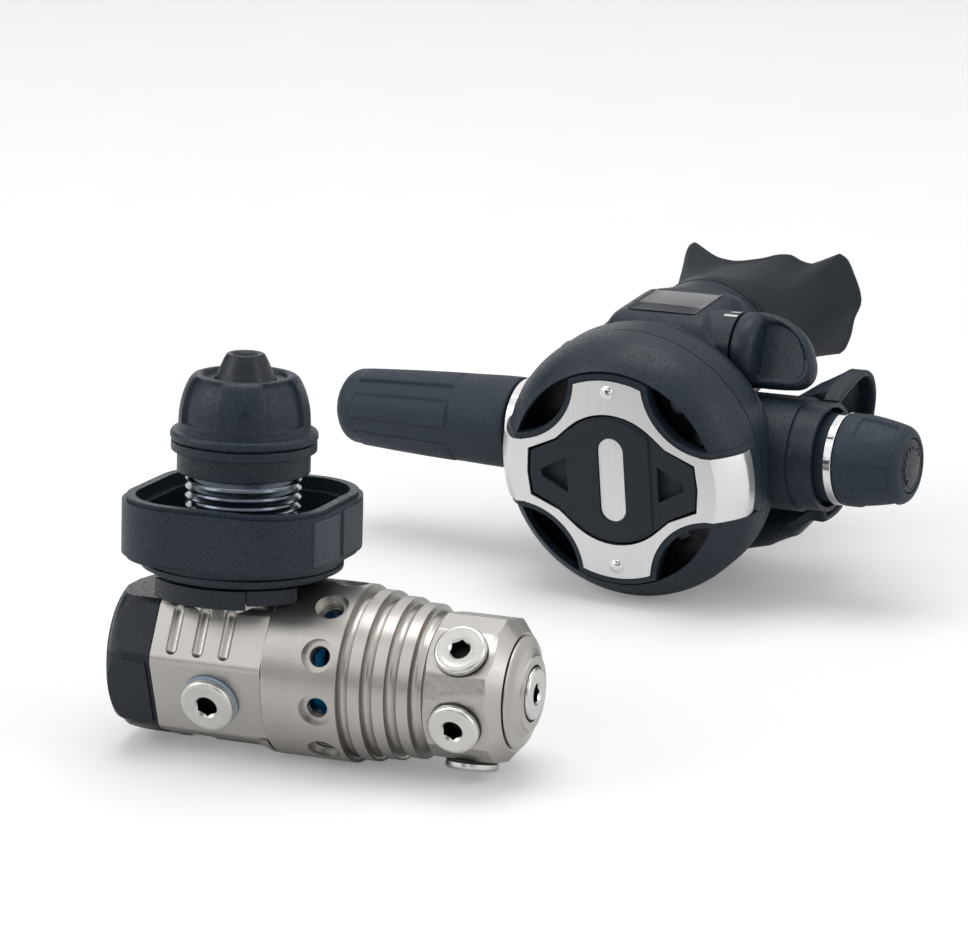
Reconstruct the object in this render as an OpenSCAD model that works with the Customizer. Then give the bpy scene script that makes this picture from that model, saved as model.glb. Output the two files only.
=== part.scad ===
// Scuba regulator set: a balanced piston first stage with a DIN connector, and a second stage.
// Millimetres. Both stages stand on the plane z = 0. The long axis of each stage runs along x.

/* [Placing of the two stages] */
// Place of the first stage's inlet axis along x
first_x = -40.8; // [-60:1:-20]
// Place of the first stage's inlet axis along y
first_y = -101.3; // [-140:1:-80]
// Lean of the first stage about its own long axis, towards the back
first_lean = 5; // [0:1:12]
// Place of the second stage's plate centre along x
second_x = 8.2; // [-10:1:30]
// Place of the second stage's plate centre along y
second_y = 16.7; // [10:1:60]
// Turn of the second stage about the upright
second_turn = -8; // [-12:1:0]
// Forward tip of the second stage
second_tip = 4; // [0:1:8]
// Sideways roll of the second stage
second_roll = -2; // [-3:1:0]

/* [First stage body] */
// Radius of the ambient chamber
chamber_r = 20; // [19.6:0.1:21]
// Distance from the axis to the facets that carry the high-pressure ports
port_facet_r = 17.6; // [17.2:0.05:18]
// Where the high-pressure body starts, left of the inlet axis
body_left = 13.7; // [12.5:0.1:15]
// Where the ambient chamber starts, right of the inlet axis
chamber_x = 13; // [12.5:0.1:14]
// Length of the smooth part of the ambient chamber
chamber_len = 17.8; // [16:0.1:19]
// Bore of the ambient chamber, radius
chamber_bore_r = 15; // [14.6:0.1:15.4]
// Bore of the piston cylinder, radius
piston_r = 13.6; // [13:0.1:13.8]
// Pitch of the cooling ribs
rib_pitch = 5.3; // [5:0.1:5.5]
// Length of the whole ribbed part
ribs_len = 18.2; // [18.1:0.1:20]
// Number of water holes round the chamber
water_holes = 10; // [6:1:11]
// Diameter of the water holes
water_hole_d = 5; // [3.5:0.1:5.6]
// Length of the faceted end cover
cover_len = 12; // [10:0.5:14]
// Radius over the corners of the end cover
cover_r = 19.2; // [18.4:0.1:19.6]

/* [Turret and port plugs] */
// Length of the turret's port section
turret_len = 14.4; // [13.6:0.1:15.4]
// Distance from the axis to the turret's port flats
turret_flat_r = 15.8; // [15.4:0.1:16.2]
// Radius over the turret's corners
turret_r = 17; // [16.9:0.1:17.4]
// Diameter of the low-pressure plug heads
lp_head_d = 11.8; // [10.6:0.1:12.4]
// Diameter of the high-pressure plug heads
tank_head_d = 12.8; // [12:0.1:13.4]
// Height of the plug heads
plug_head_h = 1.9; // [1.7:0.1:2.6]

/* [DIN side] */
// Height of the wheel's underside above the body axis
wheel_base = 24.4; // [24.2:0.1:26]
// Height of the wheel's wall
wheel_h = 13.9; // [12:0.1:16]
// Half the width of the rounded square wheel
wheel_half = 24.3; // [23.6:0.1:25.5]
// Corner radius of the wheel
wheel_corner = 16; // [13:0.5:18]
// Thickness of the wheel's wall
wheel_wall = 3; // [2.4:0.1:3.6]
// Crest radius of the DIN connector's thread
thread_r = 12.95; // [12.8:0.05:13]
// Pitch of the thread
thread_pitch = 2; // [1.8:0.1:2.2]
// Depth of the thread
thread_depth = 1.15; // [0.9:0.05:1.2]
// Height of the cap's lower edge above the body axis
cap_base_w = 43; // [42.6:0.1:45]
// Height of the whole cap
cap_h = 26.6; // [26:0.1:29]
// Outer radius of the cap's skirt
cap_skirt_r = 14.9; // [14.7:0.1:15.4]
// Outer radius of the cap's flange
cap_flange_r = 16.5; // [16:0.1:17.4]

/* [Second stage] */
// Largest radius of the cover
shell_r = 34.2; // [33.6:0.1:34.8]
// Depth of the front cover
cover_depth = 13.3; // [12.8:0.1:14]
// Radius of the cover's rounded shoulder
shoulder_r = 17; // [16:0.1:17.5]
// Wall of the cover and the case
wall = 2.2; // [1.8:0.1:2.4]
// Depth of the case behind the cover
case_depth = 16; // [15:0.1:17]
// Thickness of the steel plate
plate_t = 0.9; // [0.6:0.1:1.1]
// Distance of the plate's pins from its centre
pin_z = 22.6; // [21.5:0.1:23.4]
// Radius of the window ring in the cover
window_r = 27.6; // [27:0.1:28]
// Distance of the valve axis behind the plate
barrel_y = 31.2; // [31:0.1:32]
// Radius of the valve housing
housing_r = 14.2; // [13.8:0.1:14.4]
// How far the valve housing's left end stands out of the cover's radius
housing_out = 2.6; // [1.8:0.1:4.3]
// Right end of the valve housing
housing_right = 38.2; // [37:0.1:39]
// Length of the housing's smaller mouth, where the knob goes in
mouth_len = 6.5; // [5:0.1:7.5]
// Outer radius of the valve barrel
barrel_r = 10.2; // [9.8:0.1:10.6]
// Length of the hose sleeve
sleeve_len = 51; // [44:1:56]
// Radius of the hose sleeve at the case
sleeve_r = 11.8; // [11.6:0.1:12.4]
// Radius of the hose sleeve at the hose
sleeve_tip_r = 8.7; // [8.5:0.1:9.5]
// Radius of the hose
hose_r = 6.1; // [5.6:0.1:6.4]
// Length of the adjusting knob
knob_len = 16.6; // [14:0.1:20]
// Radius of the adjusting knob
knob_r = 11.5; // [11.4:0.1:12]
// Height of the mouthpiece tube's axis above the valve axis
neck_z = 17; // [16:0.1:18]
// Where the mouthpiece's flange stands, behind the plate
flange_y = 92; // [86:1:96]
// Half the width of the mouthpiece's flange
flange_w = 24; // [22:0.5:26]
// Travel of the purge button
purge_travel = 3.5; // [2:0.5:3.5]

/* [Hidden] */

$fn = 64;
eps = 0.01;
// running clearance on the radius, and clearance between pieces that are apart
fit = 0.08;
gap = 0.3;

nickel = [0.66, 0.64, 0.61];
steel = [0.85, 0.85, 0.86];
chrome = [0.80, 0.81, 0.83];
brass = [0.72, 0.58, 0.32];
black = [0.14, 0.16, 0.19];
soft_black = [0.10, 0.11, 0.13];
pad_grey = [0.26, 0.31, 0.35];
spring_blue = [0.02, 0.40, 0.78];

first_z = chamber_r;
// height at which the rim of the cover touches the plane that the second stage stands on
second_z = (shell_r - shoulder_r) * cos(second_tip) + shoulder_r - cover_depth * sin(second_tip);

module first_stage() {
    translate([first_x, first_y, first_z])
        rotate([-first_lean, 0, 0])
            children();
}

module second_stage() {
    translate([second_x, second_y, second_z])
        rotate([0, 0, second_turn])
            rotate([second_tip, 0, 0])
                rotate([0, second_roll, 0])
                    children();
}

// A shape drawn round z is laid along x, its z = 0 end at x = from.
module along_x(from = 0) {
    translate([from, 0, 0])
        rotate([90, 0, 90])
            children();
}

// A shape drawn round z is laid along y, its z = 0 end at y = from.
module along_y(from = 0) {
    translate([0, from, 0])
        rotate([-90, 0, 0])
            children();
}

// A flat outline in x and z is pushed along y.
module push_y(from, to) {
    translate([0, to, 0])
        rotate([90, 0, 0])
            linear_extrude(to - from)
                children();
}

module tube(r_out, r_in, h) {
    difference() {
        cylinder(r = r_out, h = h);
        translate([0, 0, -1])
            cylinder(r = r_in, h = h + 2);
    }
}

// ---------------------------------------------------------------- first stage

ribs_x = chamber_x + chamber_len;
ribs_end = ribs_x + ribs_len;
seat_bore_r = 8.6;
gas_room_r = 6.5;
gas_room_half = 4;
shaft_r = 4.5;
boss_r = 14.5;
boss_top = wheel_base - 4.6;
inlet_bore_r = 8;
tank_port_r = 5.55;
lp_port_r = 4.76;
port_angle = -20;
slot_angle = 28;
slot_facet_r = 18.6;
corner_r = 19.4;
slot_w = 2.8;
slot_len = 8.9;
slot_pitch = 6.25;
slot_x = -2.6;
slot_depth = 1.1;

// Faces of the body: angle above the front, then distance from the axis. Narrow faces trim the corners.
front_faces = [[48, corner_r], [slot_angle, slot_facet_r], [8, corner_r], [port_angle, port_facet_r],
    [-47.5, corner_r], [-68.7, 18.4]];
body_faces = concat([[90, 15]], front_faces, [[-90, corner_r]],
    [for (i = [len(front_faces) - 1 : -1 : 0]) [-180 - front_faces[i][0], front_faces[i][1]]]);

// Corner where two faces meet, in y and z.
function face_corner(a, b) = let (u = 180 - a[0], v = 180 - b[0], d = sin(v - u))
    [(a[1] * sin(v) - b[1] * sin(u)) / d, (b[1] * cos(u) - a[1] * cos(v)) / d];

// Section of the body in y and z, grown outwards by g.
module body_section(g) {
    n = len(body_faces);
    polygon([for (i = [0 : n - 1]) face_corner(body_faces[i] + [0, g], body_faces[(i + 1) % n] + [0, g])]);
}

// Shapes on a facet of the body: z points out of the facet, x runs along the body.
module on_facet(angle, distance, along = 0) {
    rotate([90 - angle, 0, 0])
        translate([along, 0, distance])
            children();
}

// Round-ended slot, half sunk in the face z = 0.
module round_slot(width, length, depth) {
    translate([0, 0, width / 2 - depth])
        rotate([90, 0, 0])
            translate([0, 0, -length / 2])
                rotate_extrude($fn = 48)
                    intersection() {
                        union() {
                            square([width / 2, length]);
                            circle(d = width);
                            translate([0, length])
                                circle(d = width);
                        }
                        translate([0, -width])
                            square([width, length + 2 * width]);
                    }
}

flare_len = 7;

module main_body_outline() {
    along_x(-body_left)
        linear_extrude(body_left + chamber_x - gap)
            body_section(0);
    // the underside flares into the round chamber
    intersection() {
        along_x(chamber_x - gap)
            rotate([180, 0, 0])
                rotate_extrude()
                    polygon([[0, 0], [chamber_r - 0.05, 0], [chamber_r - 0.15, 1.2], [chamber_r - 0.9, 3.2],
                        [corner_r - 0.75, 5], [corner_r - 1.2, flare_len], [0, flare_len]]);
        translate([-20, -20, -25])
            cube([40, 40, 25 - corner_r * sin(47.5)]);
    }
}

module main_body() color(nickel) first_stage() {
    difference() {
        union() {
            main_body_outline();
            // neck that carries the inlet, between the end cover and the chamber
            intersection() {
                cylinder(r = boss_r, h = boss_top);
                translate([-body_left, -20, 0])
                    cube([body_left + chamber_x - gap, 40, 30]);
            }
        }
        // seat retainer's thread, high-pressure room and piston shaft guide
        along_x(-body_left - 1)
            cylinder(r = seat_bore_r, h = body_left + 1 - gas_room_half);
        along_x(-gas_room_half - 1)
            cylinder(r = gas_room_r, h = 2 * gas_room_half + 1);
        along_x(0)
            cylinder(r = shaft_r + fit, h = chamber_x + 1);
        cylinder(r = inlet_bore_r, h = boss_top + 1);
        // high-pressure ports, front and back
        for (side = [0, 1])
            mirror([0, side, 0])
                on_facet(port_angle, 0)
                    cylinder(r = tank_port_r, h = chamber_r);
        // round-ended slots, front and back
        for (side = [0, 1], i = [-1 : 1])
            mirror([0, side, 0])
                on_facet(slot_angle, slot_facet_r, slot_x + i * slot_pitch)
                    translate([0, 0.5, 0])
                        round_slot(slot_w, slot_len, slot_depth);
        // spot face under the body
        on_facet(-80, port_facet_r - 0.8, -8)
            cylinder(r = 4, h = 4);
    }
}

hole_x = chamber_x + 12.95;
hole_turn = 23;
counter_d = water_hole_d + 2.5;
counter_depth = 1.5;
rib_width = 2.85;
groove_round = 1.35;

// Outer radius of rib number i, and of the groove before it.
function rib_r(i) = chamber_r - 0.9 * i;
function groove_r(i) = chamber_r - 2.9 - 0.72 * i;
function groove_x(i) = ribs_x + i * rib_pitch;

module groove(i, width) {
    // one rounded groove between two ribs
    translate([groove_x(i), 0])
        union() {
            translate([0, groove_r(i) + groove_round])
                square([width, chamber_r]);
            translate([groove_round, groove_r(i)])
                square([width - 2 * groove_round, chamber_r]);
            for (side = [groove_round, width - groove_round])
                translate([side, groove_r(i) + groove_round])
                    circle(r = groove_round);
        }
}

module ambient_body() color(nickel) first_stage() {
    difference() {
        along_x()
            rotate_extrude()
                rotate([180, 0, 0])
                    mirror([0, 1])
                        difference() {
                            ambient_profile();
                        }
        for (i = [0 : water_holes - 1])
            on_facet(hole_turn + i * 360 / water_holes, chamber_bore_r - 1, hole_x) {
                cylinder(d = water_hole_d, h = chamber_r);
                translate([0, 0, chamber_r - chamber_bore_r + 1 - counter_depth])
                    cylinder(d = counter_d, h = chamber_r);
            }
    }
}

// Half section of the ambient body: first coordinate is the radius, second runs along the body.
module ambient_profile() {
    difference() {
        translate([0, chamber_x])
            square([chamber_r, ribs_end - chamber_x]);
        translate([-1, chamber_x + 2.4])
            square([1 + chamber_bore_r, chamber_len - 1.2]);
        translate([-1, chamber_x - 1])
            square([1 + shaft_r + fit, 10]);
        translate([-1, ribs_x])
            square([1 + piston_r + fit, ribs_len + 1]);
        rotate(90)
            mirror([0, 1])
                for (i = [0 : 3])
                    groove(i, i == 3 ? ribs_end - groove_x(3) + 2 : rib_pitch - rib_width);
        // the ribs get smaller towards the turret
        for (i = [1 : 3])
            translate([rib_r(i), groove_x(i) - rib_width - 0.1])
                square([chamber_r, rib_width + 0.2]);
        // soft edge at the high-pressure end
        translate([chamber_r - 0.4, chamber_x - 0.1])
            rotate(-45)
                square([2, 1]);
    }
}

module end_cover() color(black) first_stage() {
    left = -body_left - gap;
    difference() {
        union() {
            intersection() {
                along_x(left - cover_len)
                    linear_extrude(cover_len)
                        body_section(cover_r - corner_r);
                // rounded outer rim
                along_x(left)
                    rotate([180, 0, 0])
                        rotate_extrude() {
                            square([cover_r - 4, cover_len]);
                            square([cover_r, cover_len - 6]);
                            translate([cover_r - 6, cover_len - 6])
                                circle(r = 6);
                        }
            }
            // raised bare panel on the front facet
            intersection() {
                along_x(left - cover_len)
                    linear_extrude(cover_len)
                        body_section(cover_r - corner_r + 0.5);
                on_facet(port_angle, 0, left - cover_len / 2)
                    translate([-cover_len / 2 + 1.2, -7.6, 0])
                        cube([cover_len - 2, 15.8, cover_r + 1]);
                along_x(left)
                    rotate([180, 0, 0])
                        rotate_extrude() {
                            square([cover_r - 4, cover_len]);
                            square([cover_r + 0.5, cover_len - 5.5]);
                            translate([cover_r - 5.5, cover_len - 5.5])
                                circle(r = 6);
                        }
            }
        }
        // seat for the retainer's head
        along_x(left - 4 - gap)
            cylinder(r = retainer_head_r + gap, h = 6 + gap);
    }
}

retainer_head_r = 11.5;

module seat_retainer() color(brass) first_stage() {
    difference() {
        union() {
            along_x(-body_left - gap - 4)
                cylinder(r = retainer_head_r, h = 4);
            along_x(-body_left - gap - 1)
                cylinder(r = seat_bore_r - fit, h = body_left - gas_room_half + gap + 0.5);
        }
        along_x(-gas_room_half - 3.4)
            cylinder(r = 3.4, h = 4);
        along_x(-body_left - 5)
            cylinder(r = 3, h = 3, $fn = 6);
    }
}

module shutoff_seat() color([0.9, 0.9, 0.86]) first_stage()
    along_x(-gas_room_half - 3.2)
        tube(3.3, 0.8, 3);

piston_gap = 1.4;
head_x = ribs_x + 8;
head_t = 5;

module piston() color(steel) first_stage()
    difference() {
        union() {
            along_x(-gas_room_half - 0.2 + piston_gap)
                cylinder(r = shaft_r, h = head_x + gas_room_half + 0.2 - piston_gap + 1);
            along_x(head_x)
                difference() {
                    cylinder(r = piston_r - 0.1, h = head_t);
                    translate([0, 0, 1.4])
                        tube(piston_r + 1, piston_r - 1.6, 2.2);
                }
        }
        along_x(-gas_room_half - 1)
            cylinder(r = 2.2, h = head_x + 20);
    }

module ring_seal(r, wire) {
    rotate_extrude()
        translate([r, 0])
            circle(r = wire, $fn = 24);
}

module piston_seal() color(soft_black) first_stage()
    along_x(head_x + 2.5)
        ring_seal(piston_r - 0.75, 0.72);

// The main spring, one unbroken tube: a flat turn at each end and open coils between.
spring_wire_r = 1.7;
spring_r = piston_r - gap - spring_wire_r;
spring_from = chamber_x + 2.4 + spring_wire_r + gap;
spring_to = head_x - spring_wire_r - gap;
spring_turns = 4.2;
spring_steps = 8;
spring_sides = 6;

// Share of the spring's rise at share t of its turns: slow at both ends.
function rise(t) = let (flat = 0.16, u = min(1, max(0, (t - flat) / (1 - 2 * flat)))) 0.06 * t + 0.94 * u;
function coil_point(r, from, to, turns, t) =
    let (a = 360 * turns * t) [r * cos(a), r * sin(a), from + (to - from) * rise(t)];
function unit(v) = v / norm(v);

function coil_ring(r, wire, from, to, turns, sides, i, n) =
    let (t = i / n,
        p = coil_point(r, from, to, turns, t),
        ahead = coil_point(r, from, to, turns, min(1, t + 0.001)),
        behind = coil_point(r, from, to, turns, max(0, t - 0.001)),
        way = unit(ahead - behind),
        out = unit([p[0], p[1], 0]),
        side = cross(way, out))
    [for (k = [0 : sides - 1])
        let (a = 360 * k / sides) p + wire * (cos(a) * out + sin(a) * side)];

module coil(r, wire, from, to, turns, steps, sides) {
    n = ceil(turns * steps);
    points = [for (i = [0 : n]) each coil_ring(r, wire, from, to, turns, sides, i, n)];
    walls = [for (i = [0 : n - 1], k = [0 : sides - 1])
        let (a = i * sides + k, b = i * sides + (k + 1) % sides)
        each [[a, b, b + sides], [a, b + sides, a + sides]]];
    start = [for (k = [1 : sides - 2]) [0, k + 1, k]];
    last = n * sides;
    end = [for (k = [1 : sides - 2]) [last, last + k, last + k + 1]];
    polyhedron(points = points, faces = concat(walls, start, end));
}

// Least gap of a coil to itself, measured between the centre line's points a turn apart.
function coil_gap(r, wire, from, to, turns, steps) =
    min([for (i = [0 : floor((turns - 1) * steps)])
        let (t = i / (turns * steps))
        norm(coil_point(r, from, to, turns, t + 1 / turns) - coil_point(r, from, to, turns, t))]) - 2 * wire;

module main_spring() color(spring_blue) first_stage()
    along_x()
        coil(spring_r, spring_wire_r, spring_from, spring_to, spring_turns, spring_steps, spring_sides);

turret_x = ribs_end + 0.4;
turret_end = turret_x + turret_len;
cone_h = 3.1;
cone_top_r = turret_r - 3.8;
bevel_h = 1.1;
band_flat_r = turret_r - 0.5;
post_r = 8;
port_x = turret_x + 7.8;
port_turn = -19;
port_angles = [60, 0, -60, -120];
plug_stand = 0.55;
axial_sink = 1.6;
bolt_head_h = 2.7;

module swivel_bolt() color(nickel) first_stage()
    difference() {
        union() {
            // plug in the cylinder, post through the turret and coned head
            along_x(ribs_end - 3.4)
                cylinder(r = piston_r - 0.1, h = 3.4 + 0.1);
            along_x(ribs_end)
                cylinder(r = post_r, h = turret_end + cone_h + 0.4 - ribs_end);
            along_x(turret_end + cone_h + gap)
                rotate_extrude()
                    bolt_head_profile();
        }
        along_x(ribs_end - 5)
            cylinder(r = 3.2, h = 14);
        along_x(ribs_end + 8)
            cylinder(r = lp_port_r, h = 40);
        // dish in which the axial plug's head sits
        along_x(axial_x)
            cylinder(r = lp_head_d / 2 + 0.5, h = 5);
        // gas ways out of the post
        for (a = [0, 90])
            along_x(port_x)
                rotate([a, 90, 0])
                    translate([0, 0, -post_r - 1])
                        cylinder(r = 2.4, h = 2 * post_r + 2);
    }

// Stepped head of the swivel bolt: a rim, a hollow flank and a hub round the axial plug.
module bolt_head_profile() {
    polygon([[0, 0], [cone_top_r - 0.5, 0], [cone_top_r - 0.5, 0.3], [cone_top_r - 1.1, 0.75],
        [cone_top_r - 2.6, 1.1], [post_r + 1.4, 1.75], [post_r + 0.5, 2.3], [post_r + 0.3, bolt_head_h],
        [0, bolt_head_h]]);
}

module turret() color(nickel) first_stage()
    difference() {
        intersection() {
            along_x(turret_x)
                rotate_extrude()
                    polygon([[0, 0], [turret_r - 1.4, 0], [turret_r, bevel_h], [turret_r, turret_len],
                        [cone_top_r, turret_len + cone_h], [0, turret_len + cone_h]]);
            // six port flats, and narrow flats between them
            along_x(turret_x - 1)
                rotate(-port_turn - 30)
                    linear_extrude(turret_len + cone_h + 2)
                        intersection() {
                            circle(r = turret_flat_r / cos(30), $fn = 6);
                            rotate(30)
                                circle(r = band_flat_r / cos(30), $fn = 6);
                        }
        }
        along_x(turret_x - 1)
            cylinder(r = post_r + fit, h = turret_len + cone_h + 2);
        // gas ring inside
        along_x(turret_x + 3)
            cylinder(r = post_r + 2.2, h = 9.6);
        for (a = port_angles)
            on_facet(port_turn + a, 0, port_x)
                cylinder(r = lp_port_r, h = chamber_r);
    }

// Port plug standing on z = 0: rounded head with a hex socket, and the thread below.
module plug(head_r, hex, thread_r, thread_len) {
    edge = 0.8;
    difference() {
        union() {
            rotate_extrude() {
                square([head_r, plug_head_h - edge]);
                square([head_r - edge, plug_head_h]);
                translate([head_r - edge, plug_head_h - edge])
                    circle(r = edge, $fn = 32);
            }
            translate([0, 0, -thread_len])
                cylinder(r = thread_r, h = thread_len + eps);
        }
        translate([0, 0, -2])
            cylinder(r = hex / 2 / cos(30), h = plug_head_h + 3, $fn = 6);
    }
}

tank_thread_len = 7;
tank_stand = 0.9;
lp_thread_len = 4.6;

module tank_plugs() color(steel) first_stage()
    for (side = [0, 1])
        mirror([0, side, 0])
            on_facet(port_angle, port_facet_r + tank_stand)
                plug(tank_head_d / 2, 4.2, tank_port_r - fit, tank_thread_len);

module tank_plug_seals() color([0.62, 0.72, 0.80]) first_stage()
    for (side = [0, 1])
        mirror([0, side, 0])
            on_facet(port_angle, port_facet_r + 0.05)
                tube(tank_head_d / 2 + 0.25, tank_port_r + fit, tank_stand - 0.1);

module lp_plugs() color(steel) first_stage()
    for (a = port_angles)
        on_facet(port_turn + a, turret_flat_r + plug_stand, port_x)
            plug(lp_head_d / 2, 4, lp_port_r - fit, lp_thread_len);

module lp_plug_seals() color(soft_black) first_stage()
    for (a = port_angles)
        on_facet(port_turn + a, turret_flat_r + 0.05, port_x)
            tube(lp_head_d / 2 + 0.1, lp_port_r + fit, plug_stand - 0.1);

axial_x = turret_end + cone_h + gap + bolt_head_h - axial_sink;

module axial_plug() color(steel) first_stage()
    along_x(axial_x + plug_stand)
        plug(lp_head_d / 2, 4, lp_port_r - fit, lp_thread_len);

module axial_plug_seal() color(soft_black) first_stage()
    along_x(axial_x + 0.05)
        tube(lp_head_d / 2 + 0.1, lp_port_r + fit, plug_stand - 0.1);

// ---------------------------------------------------------------- DIN side

stem_r = 7.6;
connector_bore_r = stem_r + 0.8;
connector_top = cap_base_w + 5.4;
stem_top = connector_top - 1.2;
wheel_top = wheel_base + wheel_h;
wheel_floor = 2.6;
hole_in_wheel = thread_r - thread_depth;

module inlet_stem() color(chrome) first_stage()
    difference() {
        union() {
            translate([0, 0, seat_bore_r + gap])
                cylinder(r = inlet_bore_r - fit, h = boss_top - seat_bore_r - gap);
            translate([0, 0, boss_top - 0.5])
                cylinder(r = stem_r, h = stem_top - boss_top + 0.5);
            translate([0, 0, boss_top + gap])
                cylinder(r = 11, h = 1.6);
        }
        translate([0, 0, 0])
            cylinder(r = 2.2, h = stem_top + 1);
        translate([0, 0, stem_top - 14])
            cylinder(r = 4.4, h = 15);
        // groove of the face seal
        translate([0, 0, stem_top - 1])
            tube(7, 5.1, 2);
    }

module inlet_filter() color(brass) first_stage()
    translate([0, 0, stem_top - 13.7])
        cylinder(r1 = 4.1, r2 = 2.6, h = 11);

module din_seal() color(soft_black) first_stage()
    translate([0, 0, stem_top - 0.1])
        ring_seal(6.05, 0.85);

module thread_profile(bottom, top, crest) {
    // flat lands with a V groove at each pitch
    turns = floor((top - bottom) / thread_pitch);
    difference() {
        translate([0, bottom])
            square([crest, top - bottom]);
        for (i = [0 : turns - 1])
            translate([crest, bottom + (i + 0.5) * thread_pitch])
                polygon([[0.01, -thread_pitch * 0.44], [-thread_depth, 0], [0.01, thread_pitch * 0.44]]);
    }
}

connector_base = wheel_base - 1.9;

module din_connector() color(chrome) first_stage()
    difference() {
        union() {
            rotate_extrude()
                thread_profile(wheel_base + wheel_floor + gap, connector_top, thread_r);
            translate([0, 0, connector_base])
                cylinder(r = hole_in_wheel - 0.1, h = wheel_floor + 4);
        }
        translate([0, 0, connector_base - 1])
            cylinder(r = connector_bore_r, h = connector_top);
        // room for the stem's collar
        translate([0, 0, connector_base - 1])
            cylinder(r = 11.3, h = 1);
    }

skirt_r = 22.8;
skirt_low_r = 21;

module wheel_skirt() color(black) first_stage()
    difference() {
        rotate_extrude() {
            translate([0, wheel_base - 3.6])
                square([skirt_low_r, 1.2]);
            translate([0, wheel_base - 2.6])
                square([skirt_r, 1.2]);
            translate([0, wheel_base - 1.6])
                square([skirt_r - 0.5, 1.5]);
        }
        translate([0, 0, wheel_base - 5])
            cylinder(r = hole_in_wheel + 0.1, h = 8);
    }

module rounded_square(half, corner) {
    square([2 * half, 2 * (half - corner)], center = true);
    square([2 * (half - corner), 2 * half], center = true);
    for (i = [-1, 1], j = [-1, 1])
        translate([i * (half - corner), j * (half - corner)])
            circle(r = corner);
}

module handwheel() color(black) first_stage()
    difference() {
        union() {
            translate([0, 0, wheel_base + 1])
                linear_extrude(wheel_h - 2)
                    rounded_square(wheel_half, wheel_corner);
            translate([0, 0, wheel_base])
                linear_extrude(wheel_h)
                    rounded_square(wheel_half - 1, wheel_corner - 1);
        }
        // the cup, with a step below its mouth
        translate([0, 0, wheel_base + wheel_h - 3])
            linear_extrude(4)
                rounded_square(wheel_half - wheel_wall, wheel_corner - wheel_wall);
        translate([0, 0, wheel_base + wheel_floor])
            linear_extrude(wheel_h)
                rounded_square(wheel_half - wheel_wall - 1.6, wheel_corner - wheel_wall - 1.6);
        translate([0, 0, wheel_base - 1])
            cylinder(r = hole_in_wheel, h = wheel_floor + 2);
        // seats of the grip pads
        for (side = [0, 180])
            rotate(side)
                pad_pair(0.6, 0.1);
    }

// Two grip pads on the wheel's +X face, standing out by stand and grown sideways by grow.
pad_spans = [[-14.6, -3.6], [-1, 11]];
module pad_pair(stand, grow)
    translate([0, 0, wheel_base + 1.8 - grow])
        linear_extrude(wheel_h - 3.6 + 2 * grow)
            for (span = pad_spans)
                intersection() {
                    difference() {
                        rounded_square(wheel_half + stand, wheel_corner + stand);
                        rounded_square(wheel_half - 0.8 - grow, wheel_corner - 0.8 - grow);
                    }
                    translate([0, span[0] - grow])
                        square([40, span[1] - span[0] + 2 * grow]);
                }

module grip_pads() color(pad_grey) first_stage()
    for (side = [0, 180])
        rotate(side)
            pad_pair(0.45, 0);

cap_bore_r = thread_r + gap;
flange_w0 = cap_base_w + 4.9;
flange_h = 4.6;
dome_w0 = flange_w0 + flange_h;
dome_h = 12;
dome_r = 14.35;
dome_top_r = 11.2;
dome_panels = 4;
panel_depth = 0.8;

module cap_base() color(black) first_stage()
    difference() {
        union() {
            translate([0, 0, cap_base_w])
                cylinder(r = cap_skirt_r, h = 5);
            translate([0, 0, flange_w0])
                cylinder(r = cap_flange_r - 0.2, h = 2.2);
        }
        translate([0, 0, cap_base_w - 1])
            cylinder(r = cap_bore_r, h = 12);
    }

// Half section of the cap's dome, its surface sunk by d.
module dome_profile(d) {
    translate([0, dome_w0 - eps])
        polygon([[0, 0], [dome_r + 0.2 - d, 0], [dome_r + 0.4 - d, 2.6], [dome_r + 0.2 - d, 5],
            [dome_r - 0.4 - d, 7.5], [dome_r - 1.4 - d, 9.7], [dome_top_r + 0.7 - d, 11.2],
            [dome_top_r - 0.4 - d, dome_h], [0, dome_h]]);
}

module cap_dome() color(black) first_stage()
    difference() {
        union() {
            translate([0, 0, flange_w0 + 2.3])
                cylinder(r = cap_flange_r, h = flange_h - 2.3);
            difference() {
                rotate_extrude()
                    dome_profile(0);
                // sunk panels between the raised ones
                for (i = [0 : dome_panels - 1])
                    rotate(i * 360 / dome_panels + 2)
                        rotate_extrude(angle = 41)
                            difference() {
                                translate([0, 2.4])
                                    dome_profile(-1);
                                dome_profile(panel_depth);
                                translate([0, dome_w0])
                                    square([30, 2.4]);
                            }
            }
        }
        translate([0, 0, cap_base_w - 1])
            cylinder(r = cap_bore_r, h = dome_w0 - cap_base_w + 1.5);
        translate([0, 0, dome_w0])
            cylinder(r1 = 12, r2 = 8, h = 8);
        // dish round the nipple, and its hole
        translate([0, 0, dome_w0 + dome_h - 1.8])
            cylinder(r = 9, h = 3);
        translate([0, 0, dome_w0 + 5])
            cylinder(r = 4.2, h = 9);
    }

module cap_nipple() color(soft_black) first_stage()
    difference() {
        union() {
            translate([0, 0, dome_w0 + dome_h - 1.7])
                cylinder(r1 = 7.2, r2 = 4.1, h = cap_base_w + cap_h - dome_w0 - dome_h + 1.7);
            translate([0, 0, dome_w0 + 7])
                cylinder(r = 4.1, h = 5);
        }
        translate([0, 0, cap_base_w + cap_h - 1])
            cylinder(r1 = 2.2, r2 = 3.2, h = 1.1);
    }

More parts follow.
